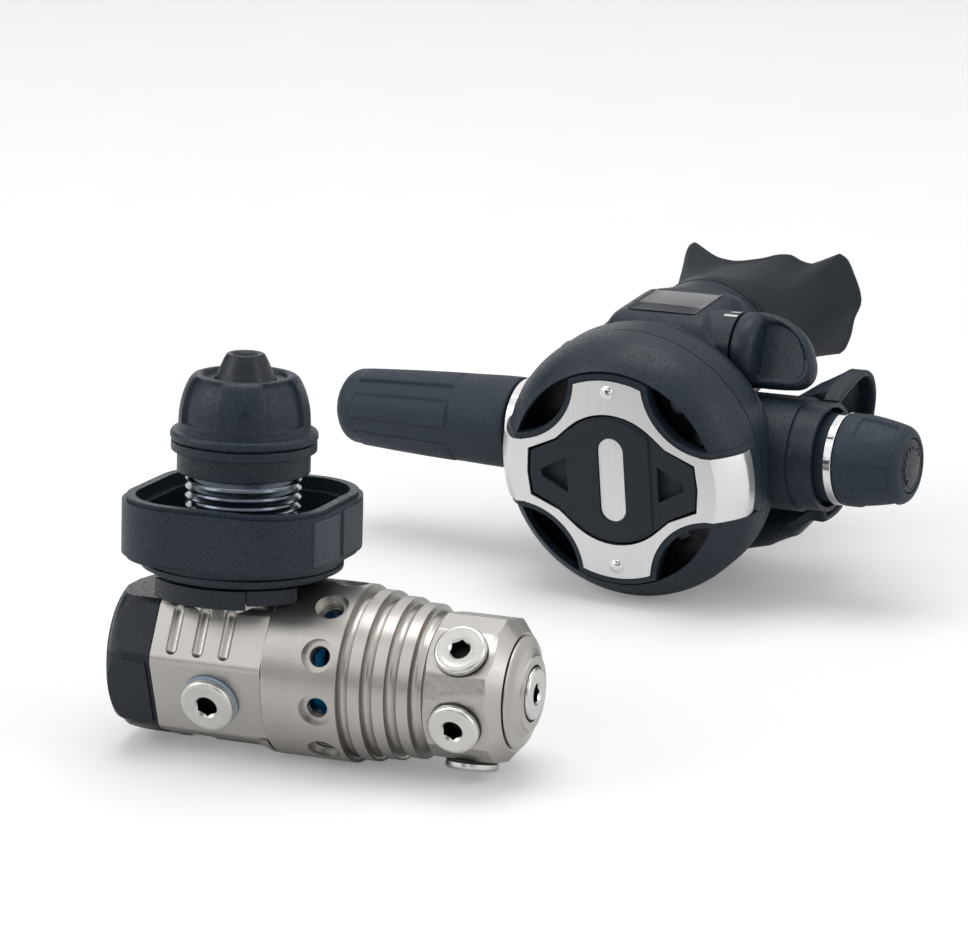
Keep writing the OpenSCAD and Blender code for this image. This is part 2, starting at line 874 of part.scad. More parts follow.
// Two arc pieces round the neck, under the wheel, fitted round the body.
module neck_shroud() color(black) first_stage()
    difference() {
        for (s = [[-134, 69.4, 20.8, 0], [-64, 34, 20.2, 0.8], [46, 69.4, 20.8, 0], [116, 34, 20.2, 0.8]])
            rotate([0, 0, s[0]])
                translate([0, 0, wheel_base - 8.4 + s[3]])
                    rotate_extrude(angle = s[1])
                        translate([boss_r + 0.1, 0])
                            square([s[2] - boss_r, 4.2 - s[3]]);
        along_x(-body_left - gap - cover_len - 1)
            linear_extrude(cover_len + 1 + gap)
                body_section(cover_r - corner_r + 0.6);
        along_x(-body_left)
            linear_extrude(body_left + chamber_x)
                body_section(0.1);
        along_x(chamber_x - 3.2)
            cylinder(r = chamber_r + 0.1, h = 20);
    }

// ---------------------------------------------------------------- second stage

shoulder_in = shell_r - shoulder_r;
front_r = shoulder_in + sqrt(shoulder_r * shoulder_r - cover_depth * cover_depth);

// Half section of the cover's outside, grown outwards by d: radius, then depth.
module cover_section(d) {
    intersection() {
        union() {
            translate([0, -d])
                square([shoulder_in, cover_depth + d]);
            translate([shoulder_in, cover_depth])
                circle(r = shoulder_r + d, $fn = 128);
        }
        translate([0, -d])
            square([shell_r + d, cover_depth + d]);
    }
}

module cover_solid(d) {
    along_y()
        rotate_extrude($fn = 128)
            cover_section(d);
}

arm_c_x = 26.5;
arm_c_z = 25.6;
arm_r = 17.45;
arm_top_r = 25.6;
arm_half = arm_c_z - arm_r;

// Outline of the four-armed plate, grown by g.
module plate_outline(g) {
    difference() {
        intersection() {
            square([80, 2 * (arm_top_r + g)], center = true);
            union() {
                circle(r = arm_top_r + g, $fn = 96);
                square([80, 2 * (arm_half + g)], center = true);
            }
        }
        for (i = [-1, 1], j = [-1, 1])
            scale([i, j])
                translate([arm_c_x, arm_c_z]) {
                    circle(r = arm_r - g, $fn = 96);
                    translate([0, g - arm_r])
                        square(40);
                    translate([g - arm_r, 0])
                        square(40);
                }
    }
}

opening_r = 16.6;
lobe_x = 23;
lobe_z = 5.8;

// Outline of the opening for the purge button, grown by g.
module button_outline(g) {
    circle(r = opening_r + g, $fn = 96);
    for (i = [-1, 1])
        scale([i, 1])
            polygon([[0, -14 - g], [11.2, -12.4 - g], [15, -9.1 - g], [lobe_x - 0.6 + g, -lobe_z - g],
                [lobe_x + g, 0], [lobe_x - 0.6 + g, lobe_z + g], [15, 9.1 + g],
                [11.2, 12.4 + g], [0, 14 + g]]);
}

module front_cover() color(black) second_stage()
    difference() {
        union() {
            difference() {
                cover_solid(0);
                cover_solid(-wall);
                translate([0, cover_depth - 1, 0])
                    along_y()
                        cylinder(r = shell_r - wall, h = 2);
            }
            // moulded lip round the plate
            intersection() {
                difference() {
                    cover_solid(0.6);
                    cover_solid(-0.5);
                }
                push_y(-5, cover_depth - 2)
                    difference() {
                        plate_outline(1.5);
                        plate_outline(0.25);
                    }
            }
        }
        // four windows
        push_y(-5, cover_depth - 4)
            difference() {
                circle(r = window_r, $fn = 96);
                plate_outline(1.6);
            }
        push_y(-5, cover_depth - 4)
            button_outline(0.4);
        for (side = [-1, 1])
            translate([0, 0, side * pin_z])
                along_y(-3)
                    cylinder(r = 1.05, h = 8);
    }

plate_arm_y = 9.6;

module cover_plate() color(steel) second_stage()
    difference() {
        intersection() {
            difference() {
                cover_solid(plate_t + 0.05);
                cover_solid(0.05);
            }
            push_y(-3, plate_arm_y)
                intersection() {
                    plate_outline(0);
                    circle(r = shell_r - 0.4, $fn = 128);
                }
        }
        push_y(-5, 5)
            button_outline(0.3);
        for (side = [-1, 1])
            translate([0, 0, side * pin_z])
                along_y(-3)
                    cylinder(r = 1.05, h = 8);
    }

module plate_pins() color(chrome) second_stage()
    for (side = [-1, 1])
        translate([0, 0, side * pin_z]) {
            along_y(-plate_t - 0.1)
                cylinder(r = 1, h = wall + plate_t);
            intersection() {
                translate([0, -plate_t + 1, 0])
                    sphere(r = 2.05);
                along_y(-plate_t - 2)
                    cylinder(r = 1.6, h = 1.9);
            }
        }

button_face = -0.7;
button_flange_y = wall + gap;
recess_depth = 2.2;

module purge_button() color(soft_black) second_stage()
    difference() {
        union() {
            push_y(button_face, button_flange_y + 1)
                button_outline(-0.3);
            // raised middle
            push_y(button_face - 0.5, button_face + 1)
                intersection() {
                    button_outline(-1.1);
                    square([21, 60], center = true);
                }
            push_y(button_flange_y, button_back)
                button_outline(1.4);
            along_y(button_flange_y)
                cylinder(r = button_stem_r, h = disc_y - gap - button_flange_y);
        }
        // side recesses
        for (i = [-1, 1])
            scale([i, 1, 1])
                push_y(button_face - 2, button_face + recess_depth)
                    polygon([[12.4, -4.6], [19.4, -0.9], [19.4, 0.9], [12.4, 4.6]]);
        push_y(button_face - 2, button_face + 0.9)
            inlay_outline(0.15);
    }

inlay_half = 7.4;
inlay_r = 3.4;

module inlay_outline(g) {
    for (side = [-1, 1])
        translate([0, side * inlay_half])
            circle(r = inlay_r + g);
    square([2 * (inlay_r + g), 2 * inlay_half], center = true);
}

module button_inlay() color(steel) second_stage()
    push_y(button_face, button_face + 0.8)
        inlay_outline(0);

disc_y = 12;
disc_r = 13;
disc_t = 0.6;
membrane_y = disc_y + disc_t + 0.1;
membrane_t = 0.8;
button_back = button_flange_y + 1.2;
button_stem_r = 5;
grille_y = 9.6;
grille_t = 1;
purge_wire_r = 0.4;

// Perforated plate behind the button: it carries the spring and holds the diaphragm's rim.
module inner_grille() color(black) second_stage()
    difference() {
        union() {
            along_y(grille_y)
                cylinder(r = rim_r - 1, h = grille_t);
            along_y(grille_y)
                cylinder(r = rim_r - 0.1, h = membrane_y - grille_y);
        }
        along_y(grille_y + grille_t)
            cylinder(r = rim_r - 2.6, h = 5);
        along_y(grille_y - 1)
            cylinder(r = button_stem_r + 0.6, h = 5);
        for (ring = [[14.5, 10], [21.5, 14]], i = [0 : ring[1] - 1])
            rotate([0, i * 360 / ring[1], 0])
                translate([ring[0], 0, 0])
                    along_y(grille_y - 1)
                        cylinder(r = 2, h = 5);
    }

module purge_spring() color(steel) second_stage()
    along_y()
        coil(7.4, purge_wire_r, button_back + purge_wire_r + 0.1, grille_y - purge_wire_r - 0.1, 2.2, 8, 6);

module diaphragm_disc() color(steel) second_stage()
    along_y(disc_y)
        cylinder(r = disc_r, h = disc_t);

rim_r = shell_r - 2.9;
fold_r = rim_r - 6.9;
bead_r = 0.9;

module diaphragm() color([0.55, 0.60, 0.66]) second_stage()
    along_y()
        rotate_extrude()
            difference() {
                union() {
                    // flat middle, one fold and the clamped rim
                    translate([0, membrane_y])
                        square([rim_r, membrane_t]);
                    translate([fold_r, membrane_y])
                        circle(r = 3);
                    translate([rim_r - bead_r - 0.1, membrane_y + bead_r])
                        circle(r = bead_r);
                }
                translate([fold_r, membrane_y])
                    circle(r = 2.2);
                translate([fold_r - 4.4, membrane_y - 4])
                    square([8.8, 4]);
            }

housing_left = shell_r + housing_out;
case_front = cover_depth + 0.3;
case_back = case_front + case_depth;
neck_y = 57;
neck_r = 16.8;
vane_y = 36;
vane_z = 24;
hub_r = 9.4;
hub_x = 19.6;
exhaust_z = 22;
exhaust_r = 7;
flap_r = exhaust_r + 0.6;
throat_y = 27;

// Oval slab across the mouthpiece tube, its thin side along y.
module neck_slab(y, w, h, z, t = 0.5) {
    translate([0, y, z])
        rotate([-90, 0, 0])
            linear_extrude(t)
                flat_oval(w, h);
}

module flat_oval(w, h) {
    // a flat-sided oval: two round ends and a box
    r = min(w, h);
    for (side = [-1, 1])
        translate([side * (w - r), 0])
            circle(r = r, $fn = 40);
    square([2 * (w - r) + eps, 2 * h], center = true);
}

// The neck: an oval behind the bowl that runs into a round end.
module case_neck(d, from, to) {
    hull() {
        neck_slab(from, 19.5 - d, 16 - d, neck_z - 1);
        neck_slab(44, 18.8 - d, 16 - d, neck_z);
    }
    hull() {
        neck_slab(44, 18.8 - d, 16 - d, neck_z);
        neck_slab(to - 0.5, neck_r - d, neck_r - d, neck_z);
    }
}

module case() color(black) second_stage()
    difference() {
        union() {
            along_y()
                rotate_extrude($fn = 128)
                    translate([0, case_front])
                        intersection() {
                            union() {
                                square([shell_r, case_depth - 9]);
                                translate([shell_r - 10, case_depth - 10])
                                    circle(r = 10, $fn = 96);
                                square([shell_r - 10, case_depth]);
                            }
                            square([shell_r, case_depth]);
                        }
            case_neck(0, 22, neck_y);
            translate([0, barrel_y, 0])
                along_x(-housing_left)
                    cylinder(r = housing_r, h = housing_left + housing_right);
            translate([0, barrel_y, 0])
                along_x(0)
                    cylinder(r = housing_r - 0.7, h = housing_right + mouth_len);
            // seat of the exhaust flap
            translate([0, 0, -exhaust_z])
                along_y(case_back - 3)
                    cylinder(r = flap_r, h = 3.2);
            // boss of the lever
            translate([0, vane_y, vane_z])
                along_x(0)
                    cylinder(r = hub_r, h = hub_x);
            // frame of the label
            translate([label_x - label_w / 2 - 0.8, label_y - 0.8, label_z - 4])
                cube([label_w + 1.6, label_len + 1.6, 4.4]);
        }
        // inside of the bowl, with a ledge for the diaphragm's rim
        along_y(case_front - 1)
            cylinder(r = rim_r + gap, h = membrane_y + 2 * bead_r + 1.05 - case_front);
        hull() {
            along_y(case_front)
                cylinder(r = rim_r - 1.9, h = case_depth - 8);
            along_y(case_front)
                cylinder(r = rim_r - 4.9, h = case_depth - wall);
        }
        case_neck(wall, throat_y, neck_y + 1);
        // room for the turning lever over the bowl's shoulder
        translate([0, vane_y, vane_z])
            along_x(hub_x)
                cylinder(r = hub_r + gap, h = 5);
        // bore of the valve barrel and the knob's mouth
        translate([0, barrel_y, 0])
            along_x(-housing_left - 1)
                cylinder(r = barrel_r + fit, h = 200);
        translate([0, barrel_y, 0])
            along_x(housing_right + mouth_len - 3)
                cylinder(r = housing_r - 1.8, h = 10);
        // exhaust port through the back wall
        translate([0, 0, -exhaust_z])
            along_y(case_back - 6)
                cylinder(r = exhaust_r, h = 12);
        // lever shaft
        translate([0, vane_y, vane_z])
            along_x(-1)
                cylinder(r = shaft_hole_r, h = 40);
        // parting groove on the housing, and the label's pocket
        translate([0, barrel_y, 0])
            along_x(26.2)
                tube(housing_r + 1, housing_r - 0.4, 0.5);
        translate([label_x - label_w / 2 - 0.2, label_y - 0.2, label_z])
            cube([label_w + 0.4, label_len + 0.4, 2]);
    }

label_x = -1.4;
label_y = barrel_y;
label_w = 16.2;
label_len = 17.4;
label_z = neck_z + 15.7;

module label_plate() color([0.5, 0.52, 0.54]) second_stage()
    translate([label_x - label_w / 2, label_y, label_z])
        cube([label_w, label_len, 0.3]);

lever_shaft_r = 2.2;
shaft_hole_r = lever_shaft_r + fit;
paddle_x = 39;
paddle_t = 5;

// The lever turns about x: a round hub with a grip rib, and a flat paddle beyond it.
module venturi_lever() color(black) second_stage() {
    translate([0, vane_y, vane_z]) {
        along_x(hub_x + gap)
            cylinder(r = hub_r, h = 4);
        difference() {
            rotate([lever_set, 0, 0])
                translate([hub_x + 3, 0, 0])
                    paddle(0, paddle_t);
            rotate([lever_set, 0, 0])
                translate([hub_x + 7.4, -paddle_t / 2 - 1, 0])
                    paddle(-2.2, 1.8);
        }
        along_x(8)
            cylinder(r = lever_shaft_r, h = hub_x - 6);
    }
}

lever_set = -30;

module paddle(g, t) {
    // D shape in x and z, pushed along y
    reach = paddle_x - hub_x - 3 - 6;
    translate([0, t / 2, 0])
        rotate([90, 0, 0])
            linear_extrude(t)
                union() {
                    translate([0, -hub_r - g])
                        square([reach + 2 + g, 2 * (hub_r + g)]);
                    translate([reach - 3 + g, 0])
                        circle(r = hub_r + g);
                }
}

module venturi_vane() color(soft_black) second_stage()
    translate([0, vane_y, vane_z])
        difference() {
            union() {
                along_x(-7)
                    cylinder(r = 3.4, h = 14);
                translate([-7, 0, -1])
                    cube([14, 9, 2]);
            }
            along_x(-8)
                cylinder(r = lever_shaft_r + 0.05, h = 0.1);
        }

lever_pivot = [12, 22.2];
lever_tip = [-3, membrane_y + membrane_t + gap];
foot_x = 0.4;
foot_y = 4.4;
ledge_x = lever_pivot[0] + foot_x + gap;

// Lever: a bent arm from the diaphragm's middle to its feet, which straddle the poppet's stem.
module demand_lever() color(steel) second_stage() {
    translate([0, 0, -2.2])
        linear_extrude(4.4)
            union() {
                polygon([lever_tip + [0, 0.1], lever_tip + [4, 0.1], lever_pivot + [0.6, -0.4],
                    lever_pivot + [0.4, 0.7], lever_pivot + [-0.6, 0.7], lever_tip + [3.6, 1.1],
                    lever_tip + [0, 1.1]]);
                translate(lever_tip + [0, 0.9])
                    circle(r = 0.9);
            }
    for (side = [-1, 1])
        translate([lever_pivot[0] - 0.6, lever_pivot[1] - 0.4, side * 3.3 - 0.8])
            cube([0.6 + foot_x, foot_y + 0.4, 1.6]);
    translate([lever_pivot[0] - 0.6, lever_pivot[1] - 0.4, -4.1])
        cube([1, 1.1, 8.2]);
}

nipple_r = 7.14;
nipple_len = 11;
inlet_ring_w = 3.7;
barrel_end = housing_right - 3;
barrel_bore_r = 8.2;
window_half = 4.6;

module valve_barrel() color(chrome) second_stage()
    translate([0, barrel_y, 0])
        difference() {
            union() {
                along_x(-housing_left + 0.2)
                    cylinder(r = barrel_r, h = housing_left - 0.2 + barrel_end);
                along_x(-housing_left - nipple_len)
                    cylinder(r = nipple_r, h = nipple_len + 1);
            }
            along_x(-housing_left - nipple_len - 1)
                cylinder(r = 4.6, h = 40);
            along_x(orifice_x)
                cylinder(r = barrel_bore_r, h = 80);
            // window for the lever and the gas
            translate([lever_pivot[0] - 11, -14, -window_half])
                cube([14, 14, 2 * window_half]);
        }

orifice_x = -12;
orifice_len = 10;
seat_gap = 0.3;

module orifice() color(brass) second_stage()
    translate([0, barrel_y, 0])
        along_x(orifice_x + 0.05)
            difference() {
                union() {
                    cylinder(r = barrel_bore_r - 0.05, h = orifice_len - 1);
                    translate([0, 0, orifice_len - 1 - eps])
                        cylinder(r1 = 4.2, r2 = 3, h = 1);
                }
                translate([0, 0, -1])
                    cylinder(r = 2.6, h = orifice_len + 2);
            }

poppet_x = orifice_x + orifice_len + seat_gap;
poppet_stem_r = 2.3;
ledge_t = 2.4;

module poppet() color([0.85, 0.85, 0.82]) second_stage()
    translate([0, barrel_y, 0])
        difference() {
            union() {
                along_x(poppet_x)
                    cylinder(r = 4.2, h = 3);
                along_x(poppet_x)
                    cylinder(r = poppet_stem_r, h = ledge_x + ledge_t + 4 - poppet_x);
                along_x(poppet_x + 4)
                    cylinder(r = barrel_bore_r - 0.1, h = 1.6);
                along_x(ledge_x)
                    cylinder(r = barrel_bore_r - 0.1, h = ledge_t);
            }
            // gas passes the guide through two side cuts
            for (side = [-1, 1])
                translate([poppet_x + 3.5, -10, side * 8 - 2.5])
                    cube([3, 20, 5]);
        }

spindle_x = barrel_end - 8;
poppet_spring_from = ledge_x + ledge_t + 0.8;
poppet_spring_to = spindle_x - 0.8;

module poppet_spring() color(steel) second_stage()
    translate([0, barrel_y, 0])
        along_x()
            coil(5.2, 0.6, poppet_spring_from, poppet_spring_to, 4.2, 8, 6);

module adjust_spindle() color(brass) second_stage()
    translate([0, barrel_y, 0])
        difference() {
            union() {
                along_x(spindle_x)
                    cylinder(r = barrel_bore_r - 0.1, h = 5);
                along_x(spindle_x)
                    cylinder(r = 4, h = knob_x - spindle_x);
            }
            along_x(spindle_x - 1)
                cylinder(r = 2.6, h = 9);
        }

ring_left = -housing_left - inlet_ring_w - 0.1;

module inlet_ring() color(chrome) second_stage()
    translate([0, barrel_y, 0])
        along_x(ring_left)
            tube(sleeve_r - 0.2, nipple_r + fit, inlet_ring_w);

sleeve_x = ring_left - gap;
sleeve_tip_x = sleeve_x - sleeve_len;

module hose_fitting() color(chrome) second_stage()
    translate([0, barrel_y, 0])
        difference() {
            along_x(sleeve_x - 12)
                cylinder(r = 9.6, h = 12, $fn = 6);
            along_x(sleeve_x - 9)
                cylinder(r = nipple_r + fit, h = 10);
            along_x(sleeve_x - 20)
                cylinder(r = 3, h = 30);
        }

module hose_sleeve() color(soft_black) second_stage()
    translate([0, barrel_y, 0])
        difference() {
            along_x(sleeve_x)
                rotate([180, 0, 0])
                    rotate_extrude() {
                        polygon([[0, 0], [sleeve_r - 0.4, 0], [sleeve_r, 0.5], [sleeve_r, 12],
                            [sleeve_tip_r + 1, sleeve_len - 5], [0, sleeve_len - 5]]);
                        intersection() {
                            translate([sleeve_tip_r - 4, sleeve_len - 5])
                                circle(r = 5);
                            square([20, sleeve_len]);
                        }
                        square([sleeve_tip_r - 4, sleeve_len]);
                    }
            along_x(sleeve_x - 12.2)
                cylinder(r = 9.7, h = 14, $fn = 6);
            along_x(sleeve_x - sleeve_len - 1)
                cylinder(r = hose_r, h = sleeve_len);
            // long shallow flats
            for (a = [30 : 60 : 330])
                rotate([a, 0, 0])
                    translate([sleeve_tip_x + 5, -20, sleeve_r - 0.45])
                        cube([sleeve_len - 18, 40, 4]);
        }

knob_x = housing_right + mouth_len + 4.6;
ring_w = 2.1;
knob_neck_x = housing_right + mouth_len - 2.6;
knob_end = knob_x + knob_len;
knob_tip_r = 9.2;
knob_neck_r = 10.9;
knob_panels = 5;

module adjust_knob() color(black) second_stage()
    translate([0, barrel_y, 0])
        difference() {
            union() {
                // neck inside the housing's mouth
                along_x(knob_neck_x)
                    cylinder(r = knob_neck_r, h = knob_x - knob_neck_x + 0.1);
                along_x(knob_x)
                    knob_body(0);
            }
            // sunk panels
            for (i = [0 : knob_panels - 1])
                rotate([i * 360 / knob_panels + 20, 0, 0])
                    along_x(knob_x)
                        rotate_extrude(angle = 40)
                            difference() {
                                knob_section(1);
                                knob_section(-0.6);
                                square([30, 4]);
                                translate([0, knob_len - 4])
                                    square([30, 9]);
                            }
            along_x(knob_end - 1)
                cylinder(r = 6.8, h = 3);
            along_x(knob_neck_x - 1)
                cylinder(r = 4 + fit, h = knob_x - knob_neck_x + 6);
        }

module knob_section(g) {
    polygon([[0, 0], [knob_r - 0.4 + g, 0], [knob_r + g, 1], [knob_r + g, 6],
        [knob_tip_r + 0.9 + g, knob_len - 3], [knob_tip_r - 0.1 + g, knob_len - 1.1],
        [knob_tip_r - 1.4 + g, knob_len - 0.2], [7 + g, knob_len], [0, knob_len]]);
}

module knob_body(g) {
    rotate_extrude()
        knob_section(g);
}

module knob_ring() color(chrome) second_stage()
    translate([0, barrel_y, 0])
        along_x(knob_x - ring_w - 0.1)
            tube(knob_r, knob_neck_r + 0.05, ring_w);

module knob_disc() color(soft_black) second_stage()
    translate([0, barrel_y, 0])
        intersection() {
            along_x(knob_end - 0.9)
                cylinder(r = 6.6, h = 3);
            translate([knob_end - 14.2, 0, 0])
                sphere(r = 15.4, $fn = 96);
        }

clamp_w = 3.6;

module mouthpiece_clamp() color(soft_black) second_stage()
    difference() {
        translate([0, 0, neck_z])
            along_y(neck_y + 0.3)
                cylinder(r = neck_r + 0.4, h = clamp_w);
        translate([0, 0, neck_z])
            along_y(neck_y)
                cylinder(r = neck_r - 2.4, h = clamp_w + 1);
    }

// Silicone mouthpiece: a tube that narrows behind the clamp, the lip flange and two bite tabs.
tube_y = neck_y + clamp_w + 0.6;
flange_t = 2.6;

module mouth_tube(d) {
    hull() {
        neck_slab(tube_y - d * 0.1, neck_r - 0.3 - d, neck_r - 0.3 - d, neck_z);
        neck_slab(tube_y + 9, neck_r - 0.6 - d, neck_r - 3.4 - d, neck_z);
    }
    hull() {
        neck_slab(tube_y + 9, neck_r - 0.6 - d, neck_r - 3.4 - d, neck_z);
        neck_slab(flange_y - 8, 17.5 - d, 10.5 - d, neck_z);
    }
    hull() {
        neck_slab(flange_y - 8, 17.5 - d, 10.5 - d, neck_z);
        neck_slab(flange_y, 20 - d, 11 - d, neck_z);
    }
}

module flange_outline() {
    difference() {
        union() {
            square([2 * flange_w - 16, 24], center = true);
            for (i = [-1, 1], j = [-1, 1])
                translate([i * (flange_w - 8), j * 6])
                    circle(r = 8);
            translate([flange_w - 8, -6])
                square([8, 12]);
            translate([-flange_w, -6])
                square([8, 12]);
        }
        // notches for the lip's ligaments
        translate([0, 21.5])
            circle(r = 11.5);
        translate([0, -22.5])
            circle(r = 11.5);
    }
}

module mouthpiece() color(soft_black) second_stage()
    difference() {
        union() {
            mouth_tube(0);
            translate([0, 0, neck_z])
                push_y(flange_y, flange_y + flange_t)
                    flange_outline();
            // bite tabs
            for (i = [-1, 1])
                scale([i, 1, 1])
                    translate([9.5, flange_y + 1, neck_z]) {
                        translate([0, 0, -1.6])
                            cube([10, 12, 3.2]);
                        translate([5, 11.5, -4])
                            cylinder(r = 2.2, h = 8);
                        translate([-1, 11, -4])
                            cube([8, 2.4, 8]);
                    }
        }
        mouth_tube(2.4);
        translate([0, 0, neck_z])
            push_y(flange_y - 1, flange_y + 6)
                intersection() {
                    square([34, 12], center = true);
                    circle(r = 15);
                }
    }

tee_y = 46;
tee_z = -18.4;
collar_z = -19;

// Oval slab across x, for the wings of the exhaust tee.
module wing_slab(x, y, z, half_y, half_z, tilt) {
    translate([x, y, z])
        rotate([0, tilt, 0])
            rotate([90, 0, 90])
                linear_extrude(0.6, center = true)
                    union() {
                        r = min(half_y, half_z);
                        for (side = [-1, 1])
                            translate([0, side * (half_z - r)])
                                circle(r = r, $fn = 32);
                        square([2 * half_y, 2 * (half_z - r) + eps], center = true);
                    }
}

module tee_wing(side, d) {
    hull() {
        wing_slab(0, tee_y, tee_z, 9.6 - d, 18 - d, 0);
        wing_slab(side * (40.6 + d * 0.2), tee_y + 6, tee_z + 14.5, 5 - d, 18.9 - d, side * 12);
    }
}

module exhaust_tee() color(black) second_stage()
    difference() {
        union() {
            tee_wing(1, 0);
            tee_wing(-1, 0);
            translate([0, 0, collar_z])
                along_y(case_back + 0.1)
                    cylinder(r = 13.4, h = 10);
        }
        tee_wing(1, 1.8);
        tee_wing(-1, 1.8);
        translate([0, 0, collar_z])
            along_y(case_back - 1)
                cylinder(r = 11.8, h = 12);
        // room for the case, the valve housing, the mouthpiece tube and the knob
        along_y(0)
            cylinder(r = shell_r + 1, h = case_back + 0.05);
        translate([0, barrel_y, 0])
            along_x(-housing_left - 1)
                cylinder(r = housing_r + 0.1, h = 120);
        hull() {
            neck_slab(20, 25.2, 16.2, neck_z - 1);
            neck_slab(60, 20, 16.2, neck_z);
        }
    }

module exhaust_valve() color(soft_black) second_stage()
    translate([0, 0, -exhaust_z]) {
        along_y(case_back + 0.3)
            cylinder(r = flap_r, h = 0.8);
        along_y(case_back - 3)
            cylinder(r = 1.6, h = 4);
    }

echo(spring_gap = coil_gap(spring_r, spring_wire_r, spring_from, spring_to, spring_turns, spring_steps));
echo(poppet_spring_gap = coil_gap(5.2, 0.6, poppet_spring_from, poppet_spring_to, 4.2, 8));
echo(purge_spring_gap =
    coil_gap(7.4, purge_wire_r, button_back + purge_wire_r, grille_y - purge_wire_r, 2.2, 8));

main_body();
ambient_body();
end_cover();
seat_retainer();
shutoff_seat();
piston();
piston_seal();
main_spring();
swivel_bolt();
turret();
tank_plugs();
tank_plug_seals();
lp_plugs();
lp_plug_seals();
axial_plug();
axial_plug_seal();
inlet_stem();
inlet_filter();
din_seal();
neck_shroud();
din_connector();
wheel_skirt();
handwheel();
grip_pads();
cap_base();
cap_dome();
cap_nipple();
case();
front_cover();
cover_plate();
plate_pins();
purge_button();
button_inlay();
purge_spring();
inner_grille();
diaphragm();
diaphragm_disc();
demand_lever();
valve_barrel();
orifice();
poppet();
poppet_spring();
adjust_spindle();
inlet_ring();
hose_fitting();
hose_sleeve();
adjust_knob();
knob_ring();
knob_disc();
venturi_lever();
venturi_vane();
label_plate();
mouthpiece_clamp();
mouthpiece();
exhaust_tee();
exhaust_valve();
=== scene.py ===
"""Scuba regulator set: finishes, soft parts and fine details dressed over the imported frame."""
from math import atan2, cos, degrees, hypot, pi, radians, sin, tau

import bpy
from mathutils import Matrix, Vector


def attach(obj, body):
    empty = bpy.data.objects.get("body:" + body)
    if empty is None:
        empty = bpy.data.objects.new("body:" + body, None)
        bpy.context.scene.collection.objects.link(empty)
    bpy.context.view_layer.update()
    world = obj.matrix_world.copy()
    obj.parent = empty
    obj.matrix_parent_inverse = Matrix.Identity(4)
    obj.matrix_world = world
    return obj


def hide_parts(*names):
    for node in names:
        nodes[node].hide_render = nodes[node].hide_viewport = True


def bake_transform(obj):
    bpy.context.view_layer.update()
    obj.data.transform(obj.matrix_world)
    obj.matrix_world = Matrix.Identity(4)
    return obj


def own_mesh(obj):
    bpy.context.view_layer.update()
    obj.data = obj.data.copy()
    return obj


# ---- the frame and the two stages

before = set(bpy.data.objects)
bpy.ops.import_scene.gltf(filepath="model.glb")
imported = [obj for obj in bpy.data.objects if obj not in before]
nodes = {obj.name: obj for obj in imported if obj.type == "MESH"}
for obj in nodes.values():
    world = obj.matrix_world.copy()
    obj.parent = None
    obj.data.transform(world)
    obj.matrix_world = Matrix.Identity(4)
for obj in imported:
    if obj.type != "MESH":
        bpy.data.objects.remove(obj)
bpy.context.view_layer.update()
MM = 0.001


def rotation(angle, axis):
    return Matrix.Rotation(radians(angle), 4, axis)


def shift(x, y, z):
    return Matrix.Translation((x, y, z))


def stage_matrix(place, *turns):
    """Millimetres in a stage's own directions to metres in the scene."""
    matrix = shift(*(Vector(place) * MM))
    for axis, angle in turns:
        matrix = matrix @ rotation(angle, axis)
    return matrix @ Matrix.Scale(MM, 4)


FIRST = stage_matrix((-40.8, -101.3, 20), ("X", -5))
SECOND = stage_matrix((8.2, 16.7, 33.2303), ("Z", -8), ("X", 4), ("Y", -2))
BARREL_Y = 31.2  # axis of the second stage's cross housing
MOUTH_Z = 17  # axis of the mouthpiece
LEVER_Y, LEVER_Z, LEVER_X = 36, 24, 19.95  # the flow lever's axis and the foot of its hub
TEE_Z, FLAP_Z = -19, -22  # the tee's collar and the exhaust flap
PORT_X = 57.2  # the ring of low-pressure ports
END_X = 68.3  # the face the end plug sits on
TANK_PORT_TURN = -20
LOW_PORT_TURNS = [-19 + turn for turn in (60, 0, -60, -120)]

# ---- camera and light


def set_camera():
    camera = bpy.data.cameras.new("camera")
    camera.lens = 158.06
    camera.sensor_width = 36
    camera.clip_end = 20
    holder = bpy.data.objects.new("camera", camera)
    bpy.context.scene.collection.objects.link(holder)
    right, forward, up = (0.9397, 0.3420, 0), (-0.3274, 0.8996, -0.2890), (-0.0989, 0.2716, 0.9573)
    place = (0.3192, -0.9303, 0.336)
    holder.matrix_world = Matrix([(right[i], up[i], -forward[i], place[i]) for i in range(3)] + [(0, 0, 0, 1)])
    bpy.context.scene.camera = holder


def softbox(name, place, target, size, power):
    """A rectangular lamp that faces its target."""
    lamp = bpy.data.lights.new(name, "AREA")
    lamp.shape = "RECTANGLE"
    lamp.size, lamp.size_y = size
    lamp.energy = power
    holder = bpy.data.objects.new(name, lamp)
    bpy.context.scene.collection.objects.link(holder)
    holder.location = place
    holder.rotation_euler = (Vector(target) - Vector(place)).to_track_quat("-Z", "Y").to_euler()


